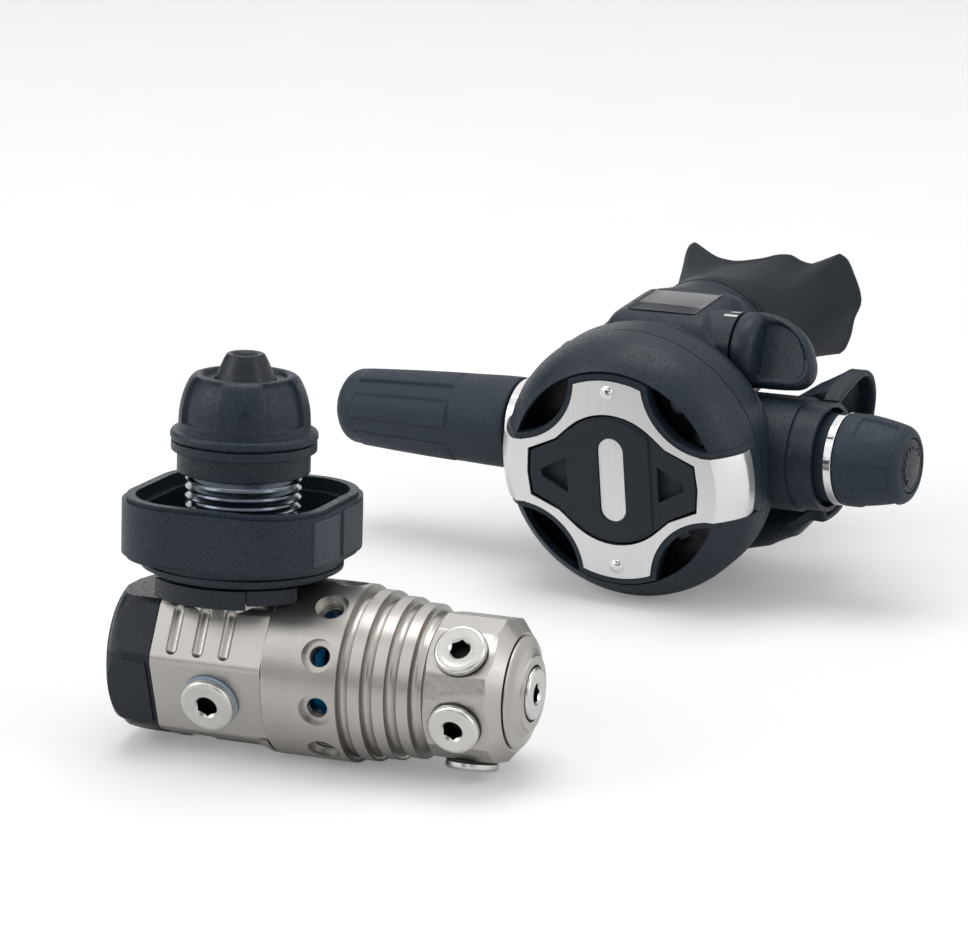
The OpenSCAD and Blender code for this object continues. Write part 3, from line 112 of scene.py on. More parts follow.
def set_light():
    bpy.context.scene.view_settings.view_transform = "Standard"
    world = bpy.data.worlds.new("studio")
    bpy.context.scene.world = world
    world.use_nodes = True
    tree = world.node_tree
    path = tree.nodes.new("ShaderNodeLightPath")
    seen = path.outputs["Is Camera Ray"]
    for kind in ("Is Transmission Ray", "Is Glossy Ray"):
        either = tree.nodes.new("ShaderNodeMath")
        either.operation = "MAXIMUM"
        tree.links.new(seen, either.inputs[0])
        tree.links.new(path.outputs[kind], either.inputs[1])
        seen = either.outputs[0]
    strength = tree.nodes.new("ShaderNodeMapRange")
    strength.inputs["To Min"].default_value = 0.45
    strength.inputs["To Max"].default_value = 1.0
    tree.links.new(seen, strength.inputs["Value"])
    background = tree.nodes["Background"]
    background.inputs["Color"].default_value = (1, 1, 1, 1)
    tree.links.new(strength.outputs[0], background.inputs["Strength"])
    softbox("overhead_softbox", (-0.1, 0.1, 1.3), (0, 0, 0.03), (1.0, 0.8), 6)
    softbox("left_softbox", (-1.1, -0.7, 0.8), (0, 0, 0.04), (0.7, 0.9), 4)
    softbox("right_softbox", (1.2, -0.1, 0.7), (0, 0, 0.04), (0.5, 0.9), 2)


def dark_card(name, place, target, size):
    """A studio flag, seen only in reflections."""
    clear_selection()
    bpy.ops.mesh.primitive_plane_add(size=1, location=(0, 0, 0))
    card = bpy.context.object
    card.name = name
    turn = (Vector(target) - Vector(place)).to_track_quat("Z", "Y").to_matrix().to_4x4()
    card.data.transform(shift(*place) @ turn @ Matrix.Diagonal((size[0], size[1], 1, 1)))
    card.data.materials.append(DARK_CARD)
    card.visible_camera = False
    card.visible_diffuse = False
    card.visible_shadow = False


# ---- finishes


class Finish:
    """A material built up layer by layer on one Principled shader."""

    def __init__(self, name, colour, roughness, metallic=0.0, specular=0.5):
        self.material = bpy.data.materials.new(name)
        self.material.use_nodes = True
        self.tree = self.material.node_tree
        self.shader = self.tree.nodes["Principled BSDF"]
        self.shader.inputs["Base Color"].default_value = (*colour, 1)
        self.shader.inputs["Roughness"].default_value = roughness
        self.shader.inputs["Metallic"].default_value = metallic
        self.shader.inputs["Specular IOR Level"].default_value = specular
        self.height = None

    def node(self, kind, **settings):
        made = self.tree.nodes.new("ShaderNode" + kind)
        for key, value in settings.items():
            setattr(made, key, value)
        return made

    def link(self, source, target):
        self.tree.links.new(source, target)

    def noise(self, scale, detail, stretch=(1, 1, 1)):
        """Noise on the piece's own coordinates, scale in bumps per metre."""
        where = self.node("TexCoord")
        mapping = self.node("Mapping")
        mapping.inputs["Scale"].default_value = stretch
        texture = self.node("TexNoise")
        texture.inputs["Scale"].default_value = scale
        texture.inputs["Detail"].default_value = detail
        self.link(where.outputs["Object"], mapping.inputs["Vector"])
        self.link(mapping.outputs["Vector"], texture.inputs["Vector"])
        return texture.outputs["Fac"]

    def between(self, value, low, high, dark, light):
        """The value from low to high becomes a number from dark to light."""
        ranged = self.node("MapRange")
        ranged.inputs["From Min"].default_value = low
        ranged.inputs["From Max"].default_value = high
        ranged.inputs["To Min"].default_value = dark
        ranged.inputs["To Max"].default_value = light
        self.link(value, ranged.inputs["Value"])
        return ranged.outputs[0]

    def tint(self, value, low, high, other):
        """Mixes another colour in where the value rises from low to high."""
        mix = self.node("Mix", data_type="RGBA")
        old = self.shader.inputs["Base Color"]
        if old.is_linked:
            self.link(old.links[0].from_socket, mix.inputs["A"])
        else:
            mix.inputs["A"].default_value = old.default_value
        mix.inputs["B"].default_value = (*other, 1)
        self.link(self.between(value, low, high, 0, 1), mix.inputs["Factor"])
        self.link(mix.outputs["Result"], old)

    def gloss(self, value, low, high, smooth, rough):
        self.link(self.between(value, low, high, smooth, rough), self.shader.inputs["Roughness"])

    def bump(self, value, strength, depth):
        bump = self.node("Bump")
        bump.inputs["Strength"].default_value = strength
        bump.inputs["Distance"].default_value = depth
        self.link(value, bump.inputs["Height"])
        if self.height:
            self.link(self.height, bump.inputs["Normal"])
        self.height = bump.outputs["Normal"]
        self.link(self.height, self.shader.inputs["Normal"])


def shade(colour, factor):
    return tuple(min(1, c * factor) for c in colour)


def moulded_plastic(name, colour, roughness, grain=3200, depth=0.00004, light=2.2):
    """Moulded plastic with a fine even grain and faint cloudy variation."""
    finish = Finish(name, colour, roughness, specular=0.34)
    fine = finish.noise(grain, 2)
    finish.tint(finish.noise(90, 3), 0.35, 0.7, shade(colour, 1.15))
    finish.tint(fine, 0.50, 0.68, shade(colour, light))
    finish.gloss(finish.noise(1400, 2), 0.35, 0.65, roughness - 0.10, roughness + 0.10)
    finish.bump(fine, 0.8, depth)
    return finish.material


def blasted_nickel(name, colour):
    """Bead-blasted nickel plate: a tight sparkle, soft clouding and a few darker handled spots."""
    finish = Finish(name, colour, 0.36, metallic=1)
    fine = finish.noise(4200, 2)
    finish.tint(finish.noise(60, 4), 0.4, 0.75, shade(colour, 0.90))
    finish.tint(fine, 0.5, 0.8, shade(colour, 1.14))
    finish.gloss(finish.noise(900, 3), 0.3, 0.75, 0.31, 0.42)
    finish.bump(fine, 0.35, 0.00002)
    return finish.material


def turned_nickel(name, colour):
    """Nickel plate over a turned surface: fine rings run round the long axis."""
    finish = Finish(name, colour, 0.30, metallic=1)
    rings = finish.noise(1, 2, stretch=(5200, 9, 9))
    fine = finish.noise(4600, 2)
    finish.tint(finish.noise(70, 4), 0.4, 0.75, shade(colour, 0.93))
    finish.tint(rings, 0.5, 0.85, shade(colour, 1.08))
    finish.gloss(fine, 0.3, 0.75, 0.29, 0.38)
    finish.bump(rings, 0.10, 0.00001)
    finish.bump(fine, 0.25, 0.000012)
    return finish.material


def polished(name, colour, roughness=0.06):
    """Bright plating with faint polishing streaks."""
    finish = Finish(name, colour, roughness, metallic=1)
    streaks = finish.noise(30, 4, stretch=(40, 40, 40))
    finish.gloss(streaks, 0.35, 0.75, roughness, roughness + 0.07)
    finish.tint(streaks, 0.45, 0.8, shade(colour, 0.93))
    finish.bump(streaks, 0.04, 0.00001)
    return finish.material


def satin_steel(name, colour, roughness):
    """Turned and tumbled steel: nearly even, with a very fine sparkle."""
    finish = Finish(name, colour, roughness, metallic=1)
    fine = finish.noise(5200, 2)
    finish.tint(finish.noise(160, 3), 0.4, 0.75, shade(colour, 0.93))
    finish.gloss(fine, 0.3, 0.75, roughness - 0.03, roughness + 0.05)
    finish.bump(fine, 0.12, 0.000006)
    return finish.material


def brushed_steel(name, colour, stretch, roughness, lines_depth=1.0):
    """Steel brushed one way: long fine lines."""
    finish = Finish(name, colour, roughness, metallic=1)
    lines = finish.noise(1, 3, stretch=stretch)
    finish.tint(lines, 0.35, 0.75, shade(colour, 1 - 0.14 * lines_depth))
    finish.tint(finish.noise(40, 3), 0.4, 0.75, shade(colour, 0.96))
    finish.gloss(lines, 0.3, 0.75, roughness - 0.05 * lines_depth, roughness + 0.09 * lines_depth)
    finish.bump(lines, 0.12 * lines_depth, 0.00001)
    return finish.material


def speckled_rubber(name, colour, speck):
    """Grip rubber with pale specks."""
    finish = Finish(name, colour, 0.75, specular=0.3)
    specks = finish.noise(5200, 1)
    finish.tint(finish.noise(220, 3), 0.35, 0.7, shade(colour, 1.12))
    finish.tint(specks, 0.60, 0.72, speck)
    finish.bump(specks, 0.4, 0.00004)
    return finish.material


def smooth_rubber(name, colour, roughness=0.45, specular=0.4):
    """Moulded rubber or silicone with a soft skin."""
    finish = Finish(name, colour, roughness, specular=specular)
    skin = finish.noise(1500, 3)
    finish.tint(finish.noise(120, 3), 0.35, 0.7, shade(colour, 1.25))
    finish.gloss(skin, 0.3, 0.7, roughness - 0.05, roughness + 0.1)
    finish.bump(skin, 0.2, 0.00003)
    return finish.material


BLACK = (0.0105, 0.0175, 0.0275)
BLACK_PLASTIC = moulded_plastic("grained_black_plastic", BLACK, 0.42, grain=1900, depth=0.00005)
SMOOTH_BLACK = moulded_plastic("smooth_black_plastic", (0.0085, 0.0125, 0.019), 0.36, grain=2400, depth=0.00002)
SOFT_BLACK = moulded_plastic("soft_touch_black", (0.019, 0.029, 0.043), 0.55, grain=4200, depth=0.00003, light=1.35)
BUTTON_BLACK = moulded_plastic("button_black", (0.013, 0.019, 0.028), 0.52, grain=4800, depth=0.00002, light=1.3)
MOUTH_RUBBER = smooth_rubber("mouthpiece_silicone", (0.0095, 0.0145, 0.0215), 0.58, specular=0.28)
SEAL_RUBBER = smooth_rubber("seal_rubber", (0.010, 0.010, 0.011), 0.30)
PALE_SEAL = smooth_rubber("pale_seal", (0.30, 0.40, 0.50), 0.40)
CLEAR_SILICONE = smooth_rubber("milky_silicone", (0.42, 0.47, 0.52), 0.35)
GRIP_RUBBER = speckled_rubber("speckled_grip", (0.062, 0.077, 0.092), (0.13, 0.155, 0.175))
NICKEL = (0.50, 0.48, 0.455)
BLASTED_NICKEL = blasted_nickel("blasted_nickel", NICKEL)
TURNED_NICKEL = turned_nickel("turned_nickel", NICKEL)
PLUG_STEEL = satin_steel("satin_plug_steel", (0.68, 0.665, 0.645), 0.26)
# near-black steel for the inside of the hex sockets: painted shade, standing in for the shadow down in each socket
SOCKET_PAINTED_SHADE = satin_steel("socket_steel_painted_shade", (0.045, 0.040, 0.034), 0.42)
PLATE_STEEL = brushed_steel("brushed_plate", (0.86, 0.86, 0.865), (2600, 60, 30), 0.40, lines_depth=0.45)
CHROME = polished("bright_chrome", (0.83, 0.83, 0.845))
# the bright chrome darkened for the DIN connector's thread: painted shade of the thread's grooves and dark
# reflections
THREAD_CHROME_PAINTED_SHADE = polished("thread_chrome_painted_shade", (0.34, 0.37, 0.41), 0.14)
STEEL = brushed_steel("machined_steel", (0.62, 0.62, 0.63), (1800, 60, 60), 0.3)
BRASS = brushed_steel("machined_brass", (0.70, 0.53, 0.27), (1800, 60, 60), 0.28)
SPRING_BLUE = smooth_rubber("blue_spring_coating", (0.004, 0.34, 0.80), 0.28, specular=0.5)
WHITE_PLASTIC = moulded_plastic("white_plastic", (0.72, 0.72, 0.69), 0.35, light=1.05)
FOIL = brushed_steel("dark_foil", (0.30, 0.31, 0.32), (60, 2400, 60), 0.30)
DARK_CARD = Finish("dark_card", (0.02, 0.02, 0.02), 1.0).material

# ---- modelling helpers


def clear_selection():
    if bpy.context.object and bpy.context.object.mode != "OBJECT":
        bpy.ops.object.mode_set(mode="OBJECT")
    bpy.ops.object.select_all(action="DESELECT")


def select_only(piece):
    clear_selection()
    bpy.context.view_layer.objects.active = piece
    piece.select_set(True)


def editing(piece, kind="FACE"):
    """Enter edit mode on one piece with nothing selected."""
    select_only(piece)
    bpy.ops.object.mode_set(mode="EDIT")
    bpy.ops.mesh.select_mode(type=kind)
    bpy.ops.mesh.select_all(action="DESELECT")


def pick(piece, test, kind="FACE"):
    """Select the faces or edges whose middle passes the test, then return to edit mode."""
    editing(piece, kind)
    bpy.ops.object.mode_set(mode="OBJECT")
    mesh = piece.data
    if kind == "FACE":
        for face in mesh.polygons:
            face.select = test(face.center, face.normal)
    else:
        for edge in mesh.edges:
            a, b = (mesh.vertices[i].co for i in edge.vertices)
            edge.select = test((a + b) / 2, (b - a).normalized())
    bpy.ops.object.mode_set(mode="EDIT")


def done_editing():
    bpy.ops.object.mode_set(mode="OBJECT")


def apply_modifiers(piece):
    select_only(piece)
    for modifier in list(piece.modifiers):
        bpy.ops.object.modifier_apply(modifier=modifier.name)


def soften(piece, width, angle=30, segments=2):
    """Round the sharp edges, in the units of the mesh."""
    bevel = piece.modifiers.new("soft_edges", "BEVEL")
    bevel.width = width
    bevel.segments = segments
    bevel.limit_method = "ANGLE"
    bevel.angle_limit = radians(angle)
    bevel.use_clamp_overlap = True
    bevel.harden_normals = False
    apply_modifiers(piece)


def smooth(piece, angle):
    select_only(piece)
    bpy.ops.object.shade_smooth_by_angle(angle=radians(angle))


def outward(piece, merge=0.0005):
    editing(piece)
    bpy.ops.mesh.select_all(action="SELECT")
    bpy.ops.mesh.remove_doubles(threshold=merge)
    bpy.ops.mesh.normals_make_consistent(inside=False)
    done_editing()


def finish_piece(piece, name, stage, body, material, replaced=(), slot=None):
    """Put a piece modelled in a stage's millimetres into the scene, on its body."""
    piece.name = name
    piece.data.name = name
    if stage is not None:
        piece.data.transform(stage)
    if material is not None:
        piece.data.materials.clear()
        piece.data.materials.append(material)
    if body:
        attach(piece, body)
    if replaced:
        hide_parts(*replaced)
    return piece


def lathe(profile, sides, along="Z"):
    """Spin a profile of (radius, height) points round the axis, then merge what meets at it."""
    clear_selection()
    bpy.ops.mesh.primitive_plane_add(size=1, location=(0, 0, 0))
    piece = bpy.context.object
    bpy.ops.object.mode_set(mode="EDIT")
    bpy.ops.mesh.select_mode(type="VERT")
    bpy.ops.mesh.select_all(action="SELECT")
    bpy.ops.mesh.delete(type="EDGE_FACE")
    bpy.ops.mesh.select_all(action="SELECT")
    bpy.ops.mesh.merge(type="CENTER")
    bpy.ops.transform.translate(value=(profile[0][0], 0, profile[0][1]))
    for (r0, z0), (r1, z1) in zip(profile, profile[1:]):
        bpy.ops.mesh.extrude_region_move(TRANSFORM_OT_translate={"value": (r1 - r0, 0, z1 - z0)})
    bpy.ops.mesh.select_all(action="SELECT")
    bpy.ops.mesh.spin(steps=sides, angle=tau, center=(0, 0, 0), axis=(0, 0, 1))
    done_editing()
    outward(piece)
    if along == "X":
        piece.data.transform(Matrix(((0, 0, 1, 0), (1, 0, 0, 0), (0, 1, 0, 0), (0, 0, 0, 1))))
    elif along == "Y":
        piece.data.transform(Matrix(((1, 0, 0, 0), (0, 0, 1, 0), (0, -1, 0, 0), (0, 0, 0, 1))))
    return piece


def skinned(rings):
    """A skin over rings of points: each ring is extruded from the last one and shaped to the next."""
    count = len(rings[0])
    clear_selection()
    bpy.ops.mesh.primitive_circle_add(vertices=count, radius=1, fill_type="NOTHING")
    piece = bpy.context.object
    for vertex, point in zip(piece.data.vertices, rings[0]):
        vertex.co = point
    order = list(range(count))
    for ring in rings[1:]:
        editing(piece, "VERT")
        done_editing()
        for index in order:
            piece.data.vertices[index].select = True
        bpy.ops.object.mode_set(mode="EDIT")
        bpy.ops.mesh.select_mode(type="EDGE")
        bpy.ops.mesh.extrude_edges_move()
        done_editing()
        spot = {tuple(round(c, 5) for c in piece.data.vertices[i].co): place for place, i in enumerate(order)}
        fresh = [0] * count
        for vertex in list(piece.data.vertices)[-count:]:
            fresh[spot[tuple(round(c, 5) for c in vertex.co)]] = vertex.index
        order = fresh
        for place, index in enumerate(order):
            piece.data.vertices[index].co = ring[place]
    outward(piece, 0.002)
    return piece


def curve_through(points):
    """A closed smooth line through the points."""
    line = []
    n, steps = len(points), 10
    for i in range(n):
        a, b, c, d = (Vector(points[(i + k) % n]) for k in (-1, 0, 1, 2))
        for k in range(steps):
            t = k / steps
            line.append(0.5 * (2 * b + (c - a) * t + (2 * a - 5 * b + 4 * c - d) * t ** 2
                               + (3 * b - a - 3 * c + d) * t ** 3))
    return line


def reach(points, centre, count):
    """How far a closed outline lies from its centre, at equal angles."""
    line = [(atan2(q.y - centre[1], q.x - centre[0]) % tau, (q - Vector(centre)).length)
            for q in curve_through(points)]
    line.sort()
    line = [(line[-1][0] - tau, line[-1][1])] + line + [(line[0][0] + tau, line[0][1])]
    out = []
    at = 0
    for k in range(count):
        angle = tau * k / count
        while line[at + 1][0] < angle:
            at += 1
        (a0, r0), (a1, r1) = line[at], line[at + 1]
        out.append(r0 + (r1 - r0) * (angle - a0) / max(1e-9, a1 - a0))
    return out


def oval(a, b, power, count):
    """A rounded oval's reach at equal angles."""
    out = []
    for k in range(count):
        across, up = abs(cos(tau * k / count)) / a, abs(sin(tau * k / count)) / b
        out.append((across ** power + up ** power) ** (-1 / power))
    return out


def around(radii, centre):
    """Points round a centre, one for each radius, at equal angles."""
    count = len(radii)
    return [(centre[0] + r * cos(tau * k / count), centre[1] + r * sin(tau * k / count))
            for k, r in enumerate(radii)]


def blended(one, two, share):
    """Numbers part of the way from one row to another."""
    return [a + (b - a) * share for a, b in zip(one, two)]


def moved(piece, x=0, y=0, z=0):
    piece.data.transform(shift(x, y, z))
    return piece


def joined(pieces):
    if len(pieces) == 1:
        return pieces[0]
    clear_selection()
    for piece in pieces:
        piece.select_set(True)
    bpy.context.view_layer.objects.active = pieces[0]
    bpy.ops.object.join()
    return bpy.context.object


def copied(piece, matrix):
    other = piece.copy()
    other.data = piece.data.copy()
    bpy.context.scene.collection.objects.link(other)
    other.data.transform(matrix)
    return other


def edged(node, body, material, width):
    """A CAD node's shape with its edges rounded as the mould or the cutter leaves them."""
    coplanar, smoothed = 0.4, 35
    piece = nodes[node].copy()
    piece.data = nodes[node].data.copy()
    piece.parent = None
    bpy.context.scene.collection.objects.link(piece)
    piece.data.transform(Matrix.Scale(1000, 4))
    editing(piece, "VERT")
    bpy.ops.mesh.select_all(action="SELECT")
    bpy.ops.mesh.remove_doubles(threshold=0.002)
    bpy.ops.mesh.dissolve_limited(angle_limit=radians(coplanar))
    done_editing()
    soften(piece, width)
    smooth(piece, smoothed)
    weighted = piece.modifiers.new("flat_faces", "WEIGHTED_NORMAL")
    weighted.mode = "FACE_AREA"
    weighted.weight = 90
    weighted.keep_sharp = True
    apply_modifiers(piece)
    piece.data.transform(Matrix.Scale(MM, 4))
    finish_piece(piece, node + "_edged", None, body, material, (node,))


def finish_node(node, material):
    shown = nodes[node]
    shown.data.materials.clear()
    shown.data.materials.append(material)


# ---- springs


def coil(name, stage, body, material, node, radius, wire, start, end, turns, along, offset=(0, 0, 0)):
    """A round-wire spring with one flat turn at each end, drawn as a curve and made solid."""
    steps = int(turns * 40)
    curve = bpy.data.curves.new(name, "CURVE")
    curve.dimensions = "3D"
    curve.bevel_depth = wire
    curve.bevel_resolution = 5
    curve.use_fill_caps = True
    spline = curve.splines.new("POLY")
    spline.points.add(steps)
    for i in range(steps + 1):
        share = i / steps
        rise = 0.06 * share + 0.94 * min(1, max(0, (share - 0.16) / 0.68))
        angle = tau * turns * share
        a, b, c = radius * cos(angle), radius * sin(angle), start + (end - start) * rise
        point = (c, a, b) if along == "X" else (a, c, -b)
        spline.points[i].co = (*[p + o for p, o in zip(point, offset)], 1)
    piece = bpy.data.objects.new(name, curve)
    bpy.context.scene.collection.objects.link(piece)
    select_only(piece)
    bpy.ops.object.convert(target="MESH")
    piece = bpy.context.object
    smooth(piece, 60)
    return finish_piece(piece, name, stage, body, material, (node,))


def make_springs():
    main = coil("main_spring_coil", FIRST, "first_stage", SPRING_BLUE, "main_spring",
                11.6, 1.7, 17.4, 36.8, 4.2, "X")
    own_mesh(main)
    purge = coil("purge_spring_coil", SECOND, "second_stage", STEEL, "purge_spring",
                 7.4, 0.4, 4.2, 9.1, 2.2, "Y")
    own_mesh(purge)
    poppet = coil("poppet_spring_coil", SECOND, "second_stage", STEEL, "poppet_spring",
                  5.2, 0.6, 15.9, 26.4, 4.2, "X", (0, BARREL_Y, 0))
    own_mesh(poppet)


# ---- plugs, seals and small turned parts


def on_facet(angle, distance, along, back=False):
    """A facet of the first stage: z points out of it, x runs along the body."""
    tilt = angle - 90 if back else 90 - angle
    return FIRST @ rotation(tilt, "X") @ shift(along, 0, distance)


def arc(radius, height, edge, start, end, steps):
    """Points of a rounded corner: its centre at (radius, height), from one angle to the other."""
    turn = [radians(start + (end - start) * i / steps) for i in range(steps + 1)]
    return [(radius + edge * cos(t), height + edge * sin(t)) for t in turn]


def cut(piece, tool):
    knife = piece.modifiers.new("cut", "BOOLEAN")
    knife.operation = "DIFFERENCE"
    knife.object = tool
    knife.solver = "EXACT"
    apply_modifiers(piece)
    bpy.data.objects.remove(tool)


def port_plug(head, socket, thread, depth):
    """Port plug standing on z = 0: a head with a rolled edge, a deep hex socket with a chamfer, and a shank."""
    edge, height = 0.85, 1.9
    profile = [(0, -depth), (thread - 0.5, -depth), (thread, -depth + 0.5), (thread, -0.01),
               (head - 0.3, 0), (head, 0.3)]
    profile += arc(head - edge, height - edge, edge, 0, 90, 7)
    profile += [(head - edge - 0.5, height), (head - edge - 0.9, height - 0.07), (0, height - 0.07)]
    plug = lathe(profile, 72)
    across = socket / 2 / cos(pi / 6)
    clear_selection()
    bpy.ops.mesh.primitive_cylinder_add(vertices=6, radius=across, depth=6, location=(0, 0, height - 0.6))
    cut(plug, bpy.context.object)
    clear_selection()
    bpy.ops.mesh.primitive_cone_add(vertices=48, radius1=across - 0.35, radius2=across + 0.3, depth=0.65,
                                    location=(0, 0, height - 0.3))
    cut(plug, bpy.context.object)
    smooth(plug, 28)
    plug.data.materials.append(PLUG_STEEL)
    plug.data.materials.append(SOCKET_PAINTED_SHADE)
    # the socket's walls and floor take the near-black steel: painted shade
    for face in plug.data.polygons:
        middle = face.center
        if hypot(middle.x, middle.y) < across + 0.02 and middle.z < height - 0.35 and middle.z > -depth + 0.1:
            face.material_index = 1
    return plug


def washer(outer, inner, height, roll):
    """A flat ring with rolled edges."""
    profile = [(inner, 0), (outer - roll, 0)] + arc(outer - roll, roll, roll, -90, 0, 4)
    profile += arc(outer - roll, height - roll, roll, 0, 90, 4) + [(inner, height), (inner, 0)]
    ring = lathe(profile, 64)
    smooth(ring, 40)
    return ring


def make_plugs():
    tank = port_plug(6.4, 4.4, 5.47, 7)
    tank_ring = washer(6.65, 5.6, 0.8, 0.3)
    low = port_plug(5.9, 4.1, 4.68, 4.6)
    low_ring = washer(6.0, 4.85, 0.45, 0.2)
    end = FIRST @ rotation(90, "Y")

    def tank_ports(distance):
        return [on_facet(TANK_PORT_TURN, distance, 0, back) for back in (False, True)]

    def low_ports(distance):
        return [on_facet(turn, distance, PORT_X) for turn in LOW_PORT_TURNS]

    def end_port(distance):
        return [end @ shift(0, 0, distance)]

    for kind, places, name, body, node in (
            (tank, tank_ports(18.5), "tank_port_plugs", "first_stage", "tank_plugs"),
            (tank_ring, tank_ports(17.65), "tank_port_washers", "first_stage", "tank_plug_seals"),
            (low, low_ports(16.35), "turret_plugs", "turret", "lp_plugs"),
            (low_ring, low_ports(15.85), "turret_plug_rings", "turret", "lp_plug_seals"),
            (low, end_port(END_X + 0.55), "end_plug", "first_stage", "axial_plug"),
            (low_ring, end_port(END_X + 0.05), "end_plug_ring", "first_stage", "axial_plug_seal")):
        material, slot = {tank_ring: (PALE_SEAL, "pale_seal"), low_ring: (SEAL_RUBBER, "seal_rubber")}.get(
            kind, (None, "plug_steel"))
        finish_piece(joined([copied(kind, place) for place in places]), name, None, body, material, (node,), slot)
    for spare in (tank, tank_ring, low, low_ring):
        bpy.data.objects.remove(spare)


def make_hole_threads():
    """Three thread turns inside each water hole of the chamber."""
    holes, first, along, outermost, pitch = 10, 23, 25.95, 18.15, 0.75
    turns = []
    for hole in range(holes):
        for step in range(3):
            clear_selection()
            bpy.ops.mesh.primitive_torus_add(major_radius=2.46, minor_radius=0.2,
                                             major_segments=28, minor_segments=6)
            turn = bpy.context.object
            place = on_facet(first + hole * 360 / holes, outermost - step * pitch, along)
            turn.data.transform(place @ rotation(3, "Y"))
            turns.append(turn)
    threads = joined(turns)
    smooth(threads, 60)
    finish_piece(threads, "water_hole_threads", None, "first_stage", TURNED_NICKEL, (), "satin_nickel")


def make_rivets():
    """Domed rivets of the plate, each with a thin washer edge."""
    profile = [(0, -1.0), (1.0, -1.0), (1.0, 0.0), (1.72, 0.02), (1.8, 0.12), (1.7, 0.28)]
    profile += [(1.35 * cos(radians(t)), 0.3 + 0.42 * sin(radians(t))) for t in range(10, 91, 16)]
    profile[-1] = (0, profile[-1][1])
    rivet = lathe(profile, 40)
    smooth(rivet, 35)
    face, apart = -0.95, 22.6
    pair = joined([copied(rivet, SECOND @ shift(0, face, z) @ rotation(90, "X")) for z in (apart, -apart)])
    bpy.data.objects.remove(rivet)
    finish_piece(pair, "plate_rivets", None, "second_stage", CHROME, ("plate_pins",), "chrome")


# ---- dust cap


def sink(piece, test, depth, width):
    """Press a panel of faces in (or out), with a narrow sloping edge round it."""
    pick(piece, test)
    bpy.ops.mesh.inset(thickness=width, depth=0, use_boundary=True)
    bpy.ops.transform.shrink_fatten(value=-depth, use_even_offset=False)
    done_editing()


def sink_panels(piece, count, first, half, inside, depth, width, across=(0, 1)):
    """Sink equal panels round a turned piece: the first one's middle and half its width in degrees."""
    for i in range(count):
        middle = radians(first + i * (360 // count))

        def on_panel(centre, normal, middle=middle):
            away = (atan2(centre[across[1]], centre[across[0]]) - middle + pi) % tau - pi
            return abs(away) < radians(half) and inside(centre, normal)
        sink(piece, on_panel, depth, width)


def make_cap_dome():
    base, top = 52.5, 64.9
    profile = [(13.2, base - 2.3), (15.9, base - 2.3), (16.3, base - 2.0), (16.5, base - 1.6), (16.5, base - 0.7)]
    profile += [(16.2, base - 0.2), (15.7, base), (14.75, base + 0.15), (14.72, base + 1.2), (14.7, base + 2.0)]
    profile += [(14.68, base + 2.8), (14.6, base + 4.0), (14.45, base + 5.2), (14.2, base + 6.4)]
    profile += [(13.9, base + 7.6), (13.5, base + 8.8), (13.05, base + 9.9), (12.6, base + 10.8)]
    profile += [(12.1, base + 11.6), (11.4, base + 12.2), (10.6, top), (9.8, top), (9.3, top - 0.4)]
    profile += [(9.1, top - 1.1), (4.2, top - 1.1), (4.2, top - 4), (8, top - 4.5)]
    profile += [(12, base), (13.2, base), (13.2, base - 2.3)]
    dome = lathe(profile, 104)
    sink_panels(dome, 4, 65, 22.4, lambda centre, normal: base + 2.0 < centre.z < base + 12.3
                and hypot(centre.x, centre.y) > 10.9 and normal.z < 0.92, 0.9, 0.25)
    soften(dome, 0.16, 28)
    smooth(dome, 30)
    finish_piece(dome, "dust_cap_dome", FIRST, "cap", BLACK_PLASTIC, ("cap_dome",), "black_plastic")


def make_cap_nipple():
    foot, top = 62.8, 69.6
    profile = [(0, foot - 3.3), (4.05, foot - 3.3), (4.05, foot), (7.3, foot), (7.25, foot + 0.5)]
    profile += [(6.6, foot + 1.6), (5.95, foot + 3.0), (5.3, foot + 4.6), (4.75, foot + 5.8)]
    profile += arc(3.75, top - 0.75, 0.75, 10, 90, 5)
    profile += [(3.1, top - 0.12), (2.6, top - 0.45), (2.2, top - 1.0), (0, top - 1.1)]
    nipple = lathe(profile, 72)
    smooth(nipple, 40)
    finish_piece(nipple, "cap_pull", FIRST, "cap", SMOOTH_BLACK, ("cap_nipple",), "seal_rubber")


# ---- hose sleeve and effort knob


def make_hose_sleeve():
    """The hose's strain relief: a tapering barrel with six long sunk panels, open at its small end."""
    start, length, big, tip, bore = -41.2, 51.0, 11.8, 8.7, 6.15
    straight, taper = 13, length - 4.4
    outside = []
    for i in range(1, 33):
        t = i / 32 * taper
        if t < straight:
            radius = big - 0.35 * ((t - 0.6) / 12.4) ** 2
        else:
            share = (t - straight) / (taper - straight)
            radius = big - 0.35 - (big - 0.35 - tip - 1.05) * (0.55 * share + 0.45 * share ** 2)
        outside.append((radius, -t))
    profile = [(bore, -0.4), (big - 0.5, 0), (big - 0.1, -0.25), *outside]
    profile += arc(tip - 3.4, -taper, 4.45, 0, -90, 8)[1:]
    profile += [(6.9, -length), (6.35, -length + 0.3), (bore, -length + 1.0), (bore, -length + 12), (bore, -0.4)]
    sleeve = lathe(profile, 96)
    sink_panels(sleeve, 6, 41, 22.6, lambda centre, normal: 6.5 - length < centre.z < -16.5
                and hypot(centre.x, centre.y) > 8, 0.42, 0.9)
    soften(sleeve, 0.35, 24, 3)
    smooth(sleeve, 40)
    sleeve.data.transform(Matrix(((0, 0, 1, start), (1, 0, 0, BARREL_Y), (0, 1, 0, 0), (0, 0, 0, 1))))
    finish_piece(sleeve, "hose_strain_relief", SECOND, "hose_end", SOFT_BLACK, ("hose_sleeve",), "soft_black")


